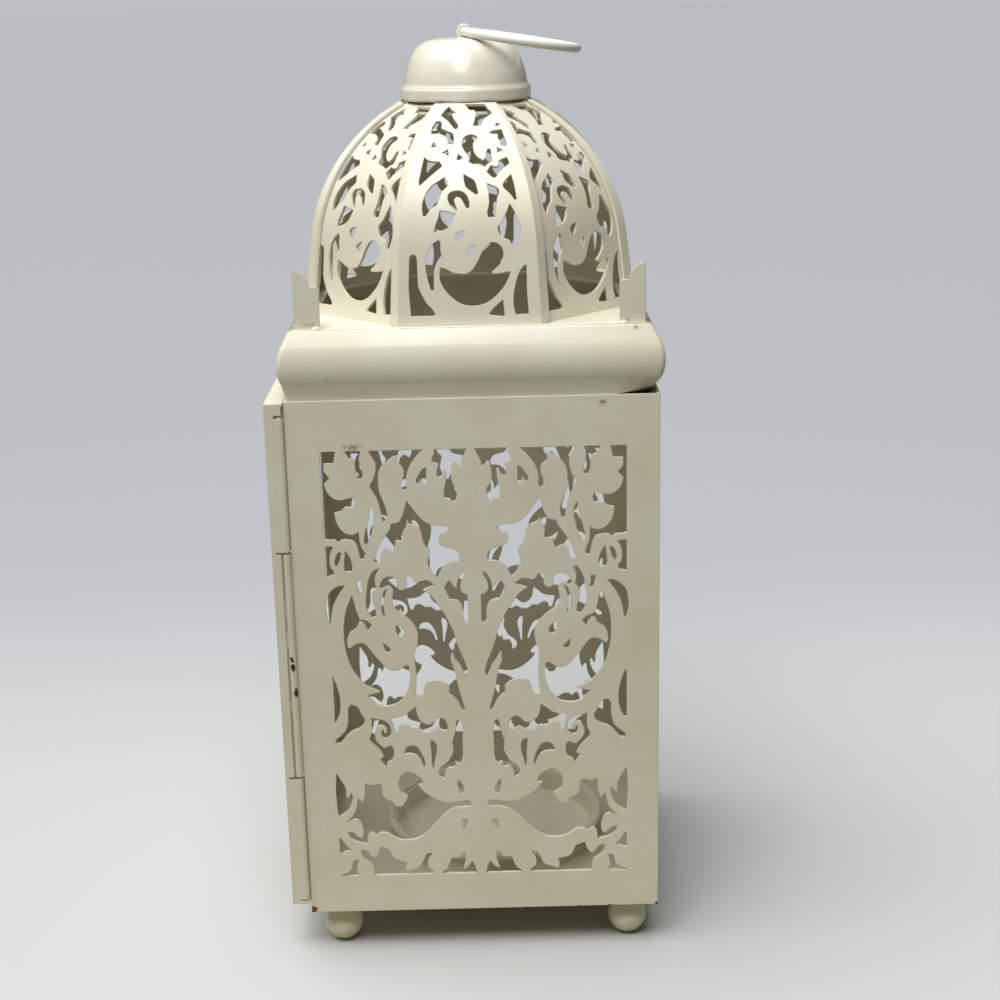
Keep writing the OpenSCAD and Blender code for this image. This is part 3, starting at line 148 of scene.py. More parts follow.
class Flaw(Enum):
    """Kinds of damage in enamel: colour, roughness, depth and softness of each."""

    CHIP = ("#15120E", 0.62, 1.0, 0.25)
    RUST = ("#8B4A1C", 0.85, 0.7, 0.35)
    STAIN = ("#9A8A5F", 0.45, 0.0, 1.1)
    SMUDGE = ("#A8A18C", 0.50, 0.0, 1.3)
    GRIME = ("#6C6755", 0.55, 0.2, 0.9)


@dataclass(frozen=True)
class Blemish:
    """One damaged place in the enamel, its middle and half sizes in millimetres."""

    flaw: Flaw
    at: Triple
    size: Triple


@dataclass(frozen=True)
class Enamel:
    """Ivory enamel, sprayed on pressed steel sheet and baked.

    It is a smooth, slightly glossy cream film with faint orange peel. The thin sheet
    under it bends reflections a little, and it yellows in patches with age.
    """

    name: str = "baked_ivory_enamel"
    colour: str = "#E4E0CF"
    aged: str = "#DCD4B8"
    worn: str = "#B5AB8C"
    # A yellowed patch: its size, the noise that starts and fills one, its strength
    patch: float = 26 * MM
    aging: Triple = (0.38, 0.72, 0.75)
    # Size and depth of the orange peel and of the sheet's waves
    peel: float = 1.7 * MM
    peel_depth: float = 0.012 * MM
    wave: float = 42 * MM
    wave_depth: float = 0.30 * MM
    # Reach of an edge's wear, and the cosines of the turns where it starts and is full
    edge: float = 0.45 * MM
    turning: Pair = (0.985, 0.80)
    # A worn stretch of an edge: its size, the noise that starts and fills one, its strength
    chip: float = 5 * MM
    wearing: Triple = (0.50, 0.70, 0.8)
    # How far a blemish's rim frays, its teeth and the depth of a chip
    fray: float = 2.6
    tooth: float = 1.1 * MM
    pit: float = 0.08 * MM
    # Roughness of the glossiest and the dullest patch, and the noise at each
    gloss: Pair = (0.24, 0.38)
    gloss_at: Pair = (0.3, 0.7)
    ior: float = 1.5
    blemishes: tuple[Blemish, ...] = ()
    slot: Slot = Slot.PAINT

    def flaw_mask(self, tree: NodeTree, place: NodeSocket, ragged: Node,
                  blemish: Blemish) -> Node:
        """Builds the mask of one blemish.

        Args:
            tree: The material's tree.
            place: Object coordinates.
            ragged: Noise that frays the blemish's rim.
            blemish: The damaged place.

        Returns:
            Node that gives 1 inside the blemish and 0 outside.
        """
        middle = [v * MM for v in blemish.at]
        size = [v * MM for v in blemish.size]
        away = add(tree, "VectorMath", {0: place, 1: middle}, operation="SUBTRACT")
        share = add(tree, "VectorMath", {0: away, 1: size}, operation="DIVIDE")
        length = add(tree, "VectorMath", {0: share}, operation="LENGTH")
        rim = add(tree, "Math", {0: ragged, 1: self.fray, 2: length}, operation="MULTIPLY_ADD")
        reach = 1.0 + self.fray / 2
        soft = blemish.flaw.value[-1]
        return add(tree, "MapRange",
                   {"Value": rim, "From Min": reach, "From Max": reach - soft}, **SMOOTH)

    @cache
    def material(self) -> Material:
        """Builds the enamel's material.

        Returns:
            The material, the same one for equal finishes.
        """
        made = bpy.data.materials.new(self.name)
        tree = cleared(made)
        place = add(tree, "TexCoord").outputs["Object"]
        patches, stretches, ragged, waves, peel = (
            add(tree, "TexNoise", {"Vector": place, "Scale": 1 / size, "Detail": detail,
                                   "Roughness": share})
            for size, detail, share in ((self.patch, 3.0, 0.6), (self.chip, 4.0, 0.7),
                                        (self.tooth, 3.0, 0.7), (self.wave, 1.0, 0.5),
                                        (self.peel, 2.0, 0.5)))
        aging, thin = (
            add(tree, "MapRange",
                {"Value": value, "From Min": first, "From Max": full, "To Max": most})
            for value, (first, full, most) in ((patches, self.aging),
                                               (stretches, self.wearing)))
        colour = add(tree, "Mix", {0: aging, 6: linear(self.colour), 7: linear(self.aged)}, **RGBA)
        # The film is thin and dull where the sheet turns sharply
        rounded = add(tree, "Bevel", {"Radius": self.edge}, samples=4)
        flat = add(tree, "NewGeometry").outputs["True Normal"]
        facing = add(tree, "VectorMath", {0: rounded, 1: flat}, operation="DOT_PRODUCT")
        start, end = self.turning
        edge = add(tree, "MapRange",
                   {"Value": facing, "From Min": start, "From Max": end}, **SMOOTH)
        wear = add(tree, "Math", {0: edge, 1: thin}, operation="MULTIPLY")
        colour = add(tree, "Mix", {0: wear, 6: colour, 7: linear(self.worn)}, **RGBA)
        rough = add(tree, "MapRange",
                    {"Value": patches, "From Min": self.gloss_at[0],
                     "From Max": self.gloss_at[1], "To Min": self.gloss[0],
                     "To Max": self.gloss[1]})
        pits: Node | float = 0.0
        for blemish in self.blemishes:
            shade, dull, depth, _ = blemish.flaw.value
            mask = self.flaw_mask(tree, place, ragged, blemish)
            colour = add(tree, "Mix", {0: mask, 6: colour, 7: linear(shade)}, **RGBA)
            rough = add(tree, "Mix", {0: mask, 2: rough, 3: dull}, data_type="FLOAT")
            pits = add(tree, "Math", {0: mask, 1: -depth, 2: pits}, operation="MULTIPLY_ADD")
        layers = [(waves, self.wave_depth), (peel, self.peel_depth)]
        if self.blemishes:
            layers.append((pits, self.pit))
        normal = rounded
        for height, depth in layers:
            normal = add(tree, "Bump", {"Height": height, "Distance": depth, "Normal": normal})
        shader = add(tree, "BsdfPrincipled", {"Base Color": colour, "Roughness": rough,
                                              "Normal": normal, "IOR": self.ior})
        add(tree, "OutputMaterial", {"Surface": shader})
        return made


@dataclass(frozen=True)
class Steel:
    """Drawn low-carbon steel, left bare: grey, drawn along its length and lightly rusted."""

    name: str = "drawn_bare_steel"
    colour: str = "#A3A097"
    dark: str = "#6E6A61"
    rust: str = "#7A4A28"
    # Size and depth of the drawn grain
    grain: float = 0.35 * MM
    grain_depth: float = 0.01 * MM
    # Size of a bloom of rust, and the noise that starts and fills it
    bloom: float = 3.2 * MM
    rusted: float = 0.58
    rust_rim: float = 0.1
    # Metal and roughness where the steel is bright and where it has rusted
    metal: Pair = (1.0, 0.1)
    rough: Pair = (0.36, 0.85)
    slot: Slot = Slot.STEEL

    @cache
    def material(self) -> Material:
        """Builds the steel's material.

        Returns:
            The material, the same one for equal finishes.
        """
        made = bpy.data.materials.new(self.name)
        tree = cleared(made)
        place = add(tree, "TexCoord").outputs["Object"]
        grain = add(tree, "TexNoise", {"Vector": place, "Scale": 1 / self.grain, "Detail": 2.0})
        bloom = add(tree, "TexNoise", {"Vector": place, "Scale": 1 / self.bloom,
                                       "Detail": 5.0, "Roughness": 0.7})
        colour = add(tree, "Mix", {0: grain, 6: linear(self.dark), 7: linear(self.colour)}, **RGBA)
        mask = add(tree, "MapRange", {"Value": bloom, "From Min": self.rusted,
                                      "From Max": self.rusted + self.rust_rim}, **SMOOTH)
        colour = add(tree, "Mix", {0: mask, 6: colour, 7: linear(self.rust)}, **RGBA)
        metal, rough = (add(tree, "MapRange", {"Value": mask, "To Min": bright, "To Max": rusty})
                        for bright, rusty in (self.metal, self.rough))
        normal = add(tree, "Bump", {"Height": grain, "Distance": self.grain_depth})
        shader = add(tree, "BsdfPrincipled", {"Base Color": colour, "Roughness": rough,
                                              "Metallic": metal, "Normal": normal})
        add(tree, "OutputMaterial", {"Surface": shader})
        return made


Finish = Enamel | Steel


def named(start: str) -> list[str]:
    """Returns the names of the frame's nodes that start alike."""
    return [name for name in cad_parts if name.startswith(start)]


def dress(finish: Finish, *nodes: str) -> None:
    """Gives nodes of the frame their finish.

    Args:
        finish: What the nodes are made of.
        nodes: Names of the nodes.
    """
    for name in nodes:
        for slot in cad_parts[name].material_slots:
            slot.material = finish.material()
        log.info("node %s: %s", name, finish.name)


def cleaned(mesh: Mesh, outwards: bool) -> None:
    """Joins a mesh's doubled vertices, and may turn its faces outwards."""
    work = bmesh.new()
    work.from_mesh(mesh)
    bmesh.ops.remove_doubles(work, verts=work.verts, dist=WELD)
    if outwards:
        bmesh.ops.recalc_face_normals(work, faces=work.faces)
    work.to_mesh(mesh)
    work.free()


def smoothed(mesh: Mesh, crease: float) -> None:
    """Shades a mesh smooth, but for its edges past a crease in degrees."""
    mesh.shade_smooth()
    mesh.set_sharp_from_angle(angle=math.radians(crease))


def meshed(name: str, solid: Solid, crease: float = CREASE) -> Mesh:
    """Makes a smooth mesh from vertices and faces.

    Args:
        name: The mesh's name.
        solid: Its vertices and faces, closed.
        crease: Angle in degrees past which an edge stays sharp.

    Returns:
        The mesh, its faces turned outwards.
    """
    mesh = bpy.data.meshes.new(name)
    mesh.from_pydata(solid[0], [], solid[1])
    cleaned(mesh, outwards=True)
    smoothed(mesh, crease)
    return mesh


def plain(made: Object) -> Mesh:
    """Replaces an object's mesh with its evaluated one.

    Args:
        made: The object, which loses its modifiers.

    Returns:
        The new mesh.
    """
    ready = made.evaluated_get(bpy.context.evaluated_depsgraph_get())
    mesh = bpy.data.meshes.new_from_object(ready)
    made.modifiers.clear()
    made.data = mesh
    mesh.name = made.name
    return mesh


def piece(name: str, solid: Solid, finish: Finish, body: Body, replaced: Sequence[str] = (),
          crease: float = CREASE) -> Object:
    """Makes one finished piece from vertices and faces.

    Args:
        name: The piece's name.
        solid: Its vertices and faces, closed.
        finish: What it is made of.
        body: The body that it moves with.
        replaced: Nodes of the frame that it stands for.
        crease: Angle in degrees past which an edge stays sharp.

    Returns:
        The piece.
    """
    mesh = meshed(name, solid, crease)
    mesh.materials.append(finish.material())
    return placed(linked(name, mesh), finish, body, replaced)


def placed(made: Object, finish: Finish, body: Body, replaced: Sequence[str]) -> Object:
    """Ties a finished piece to the frame.

    Args:
        made: The piece.
        finish: What it is made of.
        body: The body that it moves with.
        replaced: Nodes of the frame that it stands for.

    Returns:
        The piece.
    """
    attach(made, body.value)
    if replaced:
        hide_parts(*replaced)
    log.info("piece %s: %s, %d faces", made.name, finish.name, len(made.data.polygons))
    return made


def welded(name: str, nodes: Sequence[str], finish: Finish, body: Body) -> Object:
    """Merges copies of nodes that are one sheet on the real lantern.

    Args:
        name: The piece's name.
        nodes: Names of the nodes that it stands for.
        finish: What it is made of.
        body: The body that it moves with.

    Returns:
        The piece.
    """
    scene = bpy.context.scene.collection
    others = bpy.data.collections.new(name + "_parts")
    scene.children.link(others)
    copies = []
    for node in nodes:
        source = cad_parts[node]
        mesh = source.data.copy()
        mesh.transform(source.matrix_world)
        if "custom_normal" in mesh.attributes:
            mesh.attributes.remove(mesh.attributes["custom_normal"])
        cleaned(mesh, outwards=False)
        mesh.materials.clear()
        copies.append(bpy.data.objects.new(name, mesh))
    first = copies[0]
    scene.objects.link(first)
    for copy in copies[1:]:
        others.objects.link(copy)
    union = first.modifiers.new("union", "BOOLEAN")
    union.operation = "UNION"
    union.operand_type = "COLLECTION"
    union.collection = others
    union.solver = "EXACT"
    whole = plain(first)
    for copy in copies[1:]:
        bpy.data.objects.remove(copy)
    bpy.data.collections.remove(others)
    whole.materials.clear()
    whole.materials.append(finish.material())
    smoothed(whole, SHEET_CREASE)
    return placed(first, finish, body, nodes)


def filleted(corners: Sequence[Triple], steps: int = 6) -> Profile:
    """Rounds the corners of an outline.

    Args:
        corners: Points of the outline, each with the length that its rounding takes from
            both sides of the corner.
        steps: Stretches in each rounding.

    Returns:
        The points of the rounded outline.
    """
    path: Profile = []
    for i, (x, y, r) in enumerate(corners):
        if r == 0 or i in (0, len(corners) - 1):
            path.append((x, y))
            continue
        here = Vector((x, y))
        before = here + (Vector(corners[i - 1][:2]) - here).normalized() * r
        after = here + (Vector(corners[i + 1][:2]) - here).normalized() * r
        for k in range(steps + 1):
            t = k / steps
            path.append(tuple(before * (1 - t) ** 2 + here * 2 * t * (1 - t) + after * t ** 2))
    return path


def curved(points: Sequence[Pair], steps: int = 6) -> Profile:
    """Draws a smooth curve through points.

    Args:
        points: Points of the curve, its ends included.
        steps: Stretches between two points.

    Returns:
        The points of the curve.
    """
    ends = [Vector(points[0]), *[Vector(p) for p in points], Vector(points[-1])]
    path: Profile = []
    for a, b, c, d in zip(ends, ends[1:], ends[2:], ends[3:]):
        for k in range(steps):
            t = k / steps
            path.append(tuple(0.5 * (2 * b + (c - a) * t + (2 * a - 5 * b + 4 * c - d) * t ** 2
                                     + (3 * b - a - 3 * c + d) * t ** 3)))
    return [*path, tuple(points[-1])]


def arc(middle: Pair, radius: float, start: float, end: float, steps: int) -> Profile:
    """Returns points along an arc, from start to end in degrees."""
    turns = [math.radians(start + (end - start) * k / steps) for k in range(steps + 1)]
    return [(middle[0] + radius * math.cos(a), middle[1] + radius * math.sin(a)) for a in turns]


def domed(radius: float, foot: float, wall: float, height: float, steps: int) -> Profile:
    """Draws the side of a peened head: a short upright wall and a dome.

    Args:
        radius: Radius of the head.
        foot: Height of its underside.
        wall: Height of its upright wall.
        height: Height of the whole head.
        steps: Stretches in the dome.

    Returns:
        Points [distance from the axis, height], from the wall up to the axis.
    """
    turns = [TURN / 4 * k / steps for k in range(steps + 1)]
    return [(radius * math.cos(a), foot + wall + (height - wall) * math.sin(a)) for a in turns]


def turned(profile: Profile, steps: int = 128, looped: bool = False,
           middle: Pair = (0.0, 0.0)) -> Solid:
    """Turns a profile round an upright axis.

    Args:
        profile: Points [distance from the axis, height]. An open one starts and ends on
            the axis.
        steps: Steps round the axis.
        looped: Whether the profile closes on itself, away from the axis.
        middle: Where the axis stands.

    Returns:
        A closed solid.
    """
    verts: list[Vector] = []
    faces: list[tuple[int, ...]] = []
    for k in range(steps):
        a = TURN * k / steps
        verts += [Vector((middle[0] + r * math.cos(a), middle[1] + r * math.sin(a), z))
                  for r, z in profile]
    n = len(profile)
    for k in range(steps):
        near, far = k * n, (k + 1) % steps * n
        faces += [(near + i, far + i, far + (i + 1) % n, near + (i + 1) % n)
                  for i in range(n if looped else n - 1)]
    return verts, faces


def extruded(outline: Profile, low: float, high: float) -> Solid:
    """Raises a closed outline between two heights.

    Args:
        outline: Points of the outline, seen from above.
        low: Height of its lower end.
        high: Height of its upper end.

    Returns:
        A closed solid.
    """
    n = len(outline)
    verts = [Vector((x, y, z)) for z in (low, high) for x, y in outline]
    faces = [(i, (i + 1) % n, n + (i + 1) % n, n + i) for i in range(n)]
    return verts, [*faces, tuple(range(n)), tuple(range(n, 2 * n))]


class CornerCopies:
    """Geometry nodes that stand a copy of a part at each corner of a rectangle."""

    def __init__(self, name: str) -> None:
        """Builds the tree.

        Args:
            name: The tree's name.
        """
        tree = self.tree = bpy.data.node_groups.new(name, "GeometryNodeTree")
        sockets = tree.interface
        sockets.new_socket("Geometry", in_out="OUTPUT", socket_type="NodeSocketGeometry")
        kinds = {"Part": "Object", "Width": "Float", "Depth": "Float", "Height": "Float",
                 "Spread": "Float", "Seed": "Int", "Finish": "Material"}
        for label, kind in kinds.items():
            sockets.new_socket(label, in_out="INPUT", socket_type="NodeSocket" + kind)
        given = add(tree, "NodeGroupInput").outputs
        corners = add(tree, "GeometryNodeMeshGrid",
                      {"Size X": given["Width"], "Size Y": given["Depth"],
                       "Vertices X": 2, "Vertices Y": 2})
        lift = add(tree, "CombineXYZ", {"Z": given["Height"]})
        lifted = add(tree, "GeometryNodeTransform", {"Geometry": corners, "Translation": lift})
        part = add(tree, "GeometryNodeObjectInfo", {"Object": given["Part"]})
        turn = add(tree, "FunctionNodeRandomValue",
                   {"Min": 0.0, "Max": TURN, "Seed": given["Seed"]}, data_type="FLOAT")
        spin = add(tree, "CombineXYZ", {"Z": turn})
        rotation = add(tree, "FunctionNodeEulerToRotation", {0: spin})
        least = add(tree, "Math", {0: 1.0, 1: given["Spread"]}, operation="SUBTRACT")
        scale = add(tree, "FunctionNodeRandomValue",
                    {"Min": least, "Max": 1.0, "Seed": given["Seed"]}, data_type="FLOAT")
        copies = add(tree, "GeometryNodeInstanceOnPoints",
                     {"Points": lifted, "Instance": part.outputs["Geometry"],
                      "Rotation": rotation, "Scale": scale})
        real = add(tree, "GeometryNodeRealizeInstances", {"Geometry": copies})
        done = add(tree, "GeometryNodeSetMaterial",
                   {"Geometry": real, "Material": given["Finish"]})
        add(tree, "NodeGroupOutput", {0: done})

    def run(self, name: str, part: Solid, size: Pair, height: float, finish: Finish,
            replaced: Sequence[str] = (), spread: float = 0.0, seed: int = 1) -> Object:
        """Runs the tree and keeps its result as a plain piece of the lantern's body.

        Args:
            name: The piece's name.
            part: The part that is copied, its axis at the origin.
            size: Width and depth of the rectangle.
            height: Height of the part's origin.
            finish: What it is made of.
            replaced: Nodes of the frame that it stands for.
            spread: Share by which a copy may be smaller.
            seed: Seed of the random turns and sizes.

        Returns:
            The piece.
        """
        stand = linked(name + "_part", meshed(name + "_part", part))
        values = {"Part": stand, "Width": size[0], "Depth": size[1], "Height": height,
                  "Spread": spread, "Seed": seed, "Finish": finish.material()}
        made = linked(name, bpy.data.meshes.new(name))
        modifier = made.modifiers.new(name, "NODES")
        modifier.node_group = self.tree
        for item in self.tree.interface.items_tree:
            if item.in_out == "INPUT":
                modifier[item.identifier] = values[item.name]
        plain(made)
        bpy.data.objects.remove(stand)
        return placed(made, finish, Body.LANTERN, replaced)


@dataclass
class Studio:
    """Plain pale floor, two soft lamps, an even sky and the camera at the photograph's place.

    The floor's front, back and far colours are what the camera sees. Its bounce colours
    are what it throws back at the lantern, strongest under it.
    """

    reach: float = 40000 * MM
    front: str = "#C0C2C0"
    back: str = "#AEB1B6"
    far: str = "#BCBFC4"
    bounce: str = "#A8A28B"
    bounce_far: str = "#2A2822"
    bounce_start: float = 70 * MM
    bounce_end: float = 480 * MM
    fade_start: float = 60 * MM
    fade_end: float = 420 * MM
    paper_rough: float = 0.9
    paper_shine: float = 0.2
    sky: float = 0.10
    sky_colour: str = "#FFFBF0"
    key_power: float = 3.55
    key_spread: float = 66.0
    key_from: Triple = (-0.30, -0.07, 1.0)
    near_power: float = 1.28
    near_size: float = 270 * MM
    near_place: Triple = (-50 * MM, -330 * MM, 620 * MM)
    near_aim: Triple = (0.0, 0.0, 240 * MM)
    camera_place: Triple = (5.51 * MM, -597.5 * MM, 320.1 * MM)
    camera_turn: Triple = (73.6498, 1.2040, -0.6454)
    lens: float = 62.39
    sensor: float = 36.0
    clip_start: float = 10 * MM
    clip_end: float = 50000 * MM

    def floor_material(self) -> Material:
        """Builds the material of matt paper, greyer towards the back.

        Returns:
            The material.
        """
        made = bpy.data.materials.new("matt_studio_paper")
        tree = cleared(made)
        place = add(tree, "TexCoord").outputs["Object"]
        depth = add(tree, "SeparateXYZ", {0: place}).outputs["Y"]
        # The greyer back is painted shade: it gives the tone of an upright backdrop, which gets
        # less light than the floor
        fade = add(tree, "MapRange", {"Value": depth, "From Min": self.fade_start,
                                      "From Max": self.fade_end}, **SMOOTH)
        colour = add(tree, "Mix", {0: fade, 6: linear(self.front), 7: linear(self.back)}, **RGBA)
        rays = add(tree, "LightPath").outputs
        seen = add(tree, "Math", {0: rays["Is Camera Ray"], 1: rays["Is Glossy Ray"]},
                   operation="MAXIMUM")
        away = add(tree, "VectorMath", {0: place}, operation="LENGTH")
        dimmed = add(tree, "MapRange", {"Value": away, "From Min": self.bounce_start,
                                        "From Max": self.bounce_end}, **SMOOTH)
        thrown = add(tree, "Mix",
                     {0: dimmed, 6: linear(self.bounce), 7: linear(self.bounce_far)}, **RGBA)
        colour = add(tree, "Mix", {0: seen, 6: thrown, 7: colour}, **RGBA)
        shader = add(tree, "BsdfPrincipled",
                     {"Base Color": colour, "Roughness": self.paper_rough,
                      "Specular IOR Level": self.paper_shine})
        add(tree, "OutputMaterial", {"Surface": shader})
        return made

    def floor(self) -> None:
        """Lays the floor."""
        mesh = bpy.data.meshes.new("floor")
        square = ((-1, -1), (1, -1), (1, 1), (-1, 1))
        corners = [(x * self.reach, y * self.reach, 0.0) for x, y in square]
        mesh.from_pydata(corners, [], [(0, 1, 2, 3)])
        mesh.materials.append(self.floor_material())
        made = linked("floor", mesh)

    def hung(self, lamp: Light, way: Vector) -> Object:
        """Hangs a lamp that shines along a direction, at the origin."""
        made = linked(lamp.name, lamp)
        made.rotation_euler = way.to_track_quat("-Z", "Y").to_euler()
        return made

    def light(self) -> None:
        """Sets the even sky, the wide lamp above and the near soft one over the front."""
        world = bpy.data.worlds.new("studio_sky")
        bpy.context.scene.world = world
        tree = cleared(world)
        rays = add(tree, "LightPath").outputs
        seen = add(tree, "Math", {0: rays["Is Camera Ray"], 1: rays["Is Transmission Ray"]},
                   operation="MAXIMUM")
        lit, shown = (add(tree, "Background", {"Color": linear(colour), "Strength": strength})
                      for colour, strength in ((self.sky_colour, self.sky), (self.far, 1.0)))
        both = add(tree, "MixShader", {0: seen, 1: lit, 2: shown})
        add(tree, "OutputWorld", {"Surface": both})
        key = bpy.data.lights.new("soft_key", "SUN")
        key.energy = self.key_power
        key.angle = math.radians(self.key_spread)
        self.hung(key, -Vector(self.key_from))
        panel = bpy.data.lights.new("near_panel", "AREA")
        panel.shape = "DISK"
        panel.size = self.near_size
        panel.energy = self.near_power
        aim = Vector(self.near_aim) - Vector(self.near_place)
        self.hung(panel, aim).location = self.near_place

    def camera(self) -> None:
        """Sets the camera at the photograph's viewpoint."""
        data = bpy.data.cameras.new("camera")
        data.sensor_width = self.sensor
        data.lens = self.lens
        data.clip_start = self.clip_start
        data.clip_end = self.clip_end
        made = linked("camera", data)
        made.location = self.camera_place
        made.rotation_euler = [math.radians(a) for a in self.camera_turn]
        bpy.context.scene.camera = made

    def build(self) -> None:
        """Builds the whole studio."""
        bpy.context.scene.view_settings.view_transform = "Standard"
        self.floor()
        self.light()
        self.camera()


@dataclass
class Walls:
    """The pressed walls of the body, its doorway frame and its base plate."""

    enamel: Enamel = Enamel(
        name="baked_ivory_enamel_walls",
        blemishes=(
            Blemish(Flaw.RUST, (-59.2, -60.0, 16.2), (1.3, 2.0, 1.5)),
            Blemish(Flaw.CHIP, (-60.0, -60.0, 15.2), (0.9, 2.0, 0.7)),
            Blemish(Flaw.STAIN, (-38.0, -60.0, 181.2), (4.5, 2.0, 1.6)),
            Blemish(Flaw.STAIN, (41.5, -60.0, 194.3), (2.4, 2.0, 1.5)),
            Blemish(Flaw.CHIP, (14.0, -60.0, 15.0), (0.5, 1.0, 0.45)),
            Blemish(Flaw.CHIP, (33.0, -60.0, 15.0), (0.7, 1.0, 0.35)),
            Blemish(Flaw.CHIP, (43.5, -60.0, 15.0), (1.0, 1.0, 0.4)),
            Blemish(Flaw.CHIP, (59.8, -60.0, 15.3), (0.8, 1.0, 0.6)),
        ))

    def build(self) -> None:
        """Merges the walls, which meet in welded and painted corners."""
        welded("welded_walls", ("front_panel", "right_panel", "rear_panel", "jamb_front",
                                "jamb_rear", "door_sill", "door_head"),
               self.enamel, Body.LANTERN)
        dress(self.enamel, "base_plate")


@dataclass
class Feet:
    """Four turned ball feet and the screws that hold them from inside."""

    enamel: Enamel = Enamel(name="baked_ivory_enamel_feet")
    steel: Steel = Steel(name="zinc_plated_screw_steel", colour="#B9BAB6", dark="#7F817C")
    ball_r: float = 6.65 * MM
    sunk: float = 0.25 * MM
    neck_r: float = 3.2 * MM
    # Degrees of the ball that the neck's root takes, its height and rounding
    root_turn: float = 4
    root_h: float = 0.5 * MM
    root_round: float = 0.3 * MM
    height: float = 15 * MM
    spacing: float = 100 * MM
    bead_r: float = 4.3 * MM
    bead_h: float = 0.9 * MM
    bead_round: float = 0.4 * MM
    bead_edge_share: float = 0.4
    # Radii of the screw's head and of the mouth and floor of its recess
    head_r: float = 3.0 * MM
    mouth_r: float = 0.8 * MM
    floor_r: float = 0.6 * MM
    head_h: float = 1.8 * MM
    head_edge_share: float = 0.95
    recess_share: float = 0.5
    head_round: float = 0.9 * MM
    mouth_round: float = 0.2 * MM

    def foot(self) -> Solid:
        """Turns one foot: a ball with a flat, a neck and a bead of weld under the base.

        Returns:
            The foot, its flat at the origin.
        """
        centre = self.ball_r - self.sunk
        low = math.degrees(math.asin(-centre / self.ball_r))
        high = math.degrees(math.acos(self.neck_r / self.ball_r))
        ball = arc((0.0, centre), self.ball_r, low, high - self.root_turn, 40)
        top = self.height
        bead_edge = top - self.bead_h * self.bead_edge_share
        neck = filleted([(*ball[-1], 0.0),
                         (self.neck_r, ball[-1][1] + self.root_h, self.root_round),
                         (self.neck_r, top - self.bead_h, self.bead_round),
                         (self.bead_r, bead_edge, self.bead_round), (self.bead_r, top, 0.0)])
        return turned([(0.0, 0.0), *ball, *neck[1:], (0.0, top)], steps=64)

    def screw(self) -> Solid:
        """Turns one pan-head screw with its shank in the base plate.

        Returns:
            The screw, the underside of its head at the origin.
        """
        shank, deep = self.neck_r / 2, self.head_h * self.recess_share
        head = filleted([(shank, -SHEET, 0.0), (shank, 0.0, 0.0), (self.head_r, 0.0, 0.0),
                         (self.head_r, self.head_h * self.head_edge_share, self.head_round),
                         (self.mouth_r, self.head_h, self.mouth_round),
                         (self.floor_r, deep, 0.0)])
        return turned([(0.0, -SHEET), *head, (0.0, deep)], steps=48)

    def build(self) -> None:
        """Builds the feet and their screws."""
        copies = CornerCopies("stand_at_corners")
        square = (self.spacing, self.spacing)
        copies.run("ball_feet", self.foot(), square, 0.0, self.enamel,
                   [*named("foot_front_"), *named("foot_rear_")])
        copies.run("foot_screw_heads", self.screw(), square, self.height + SHEET,
                   self.steel, ["foot_screws"], seed=7)


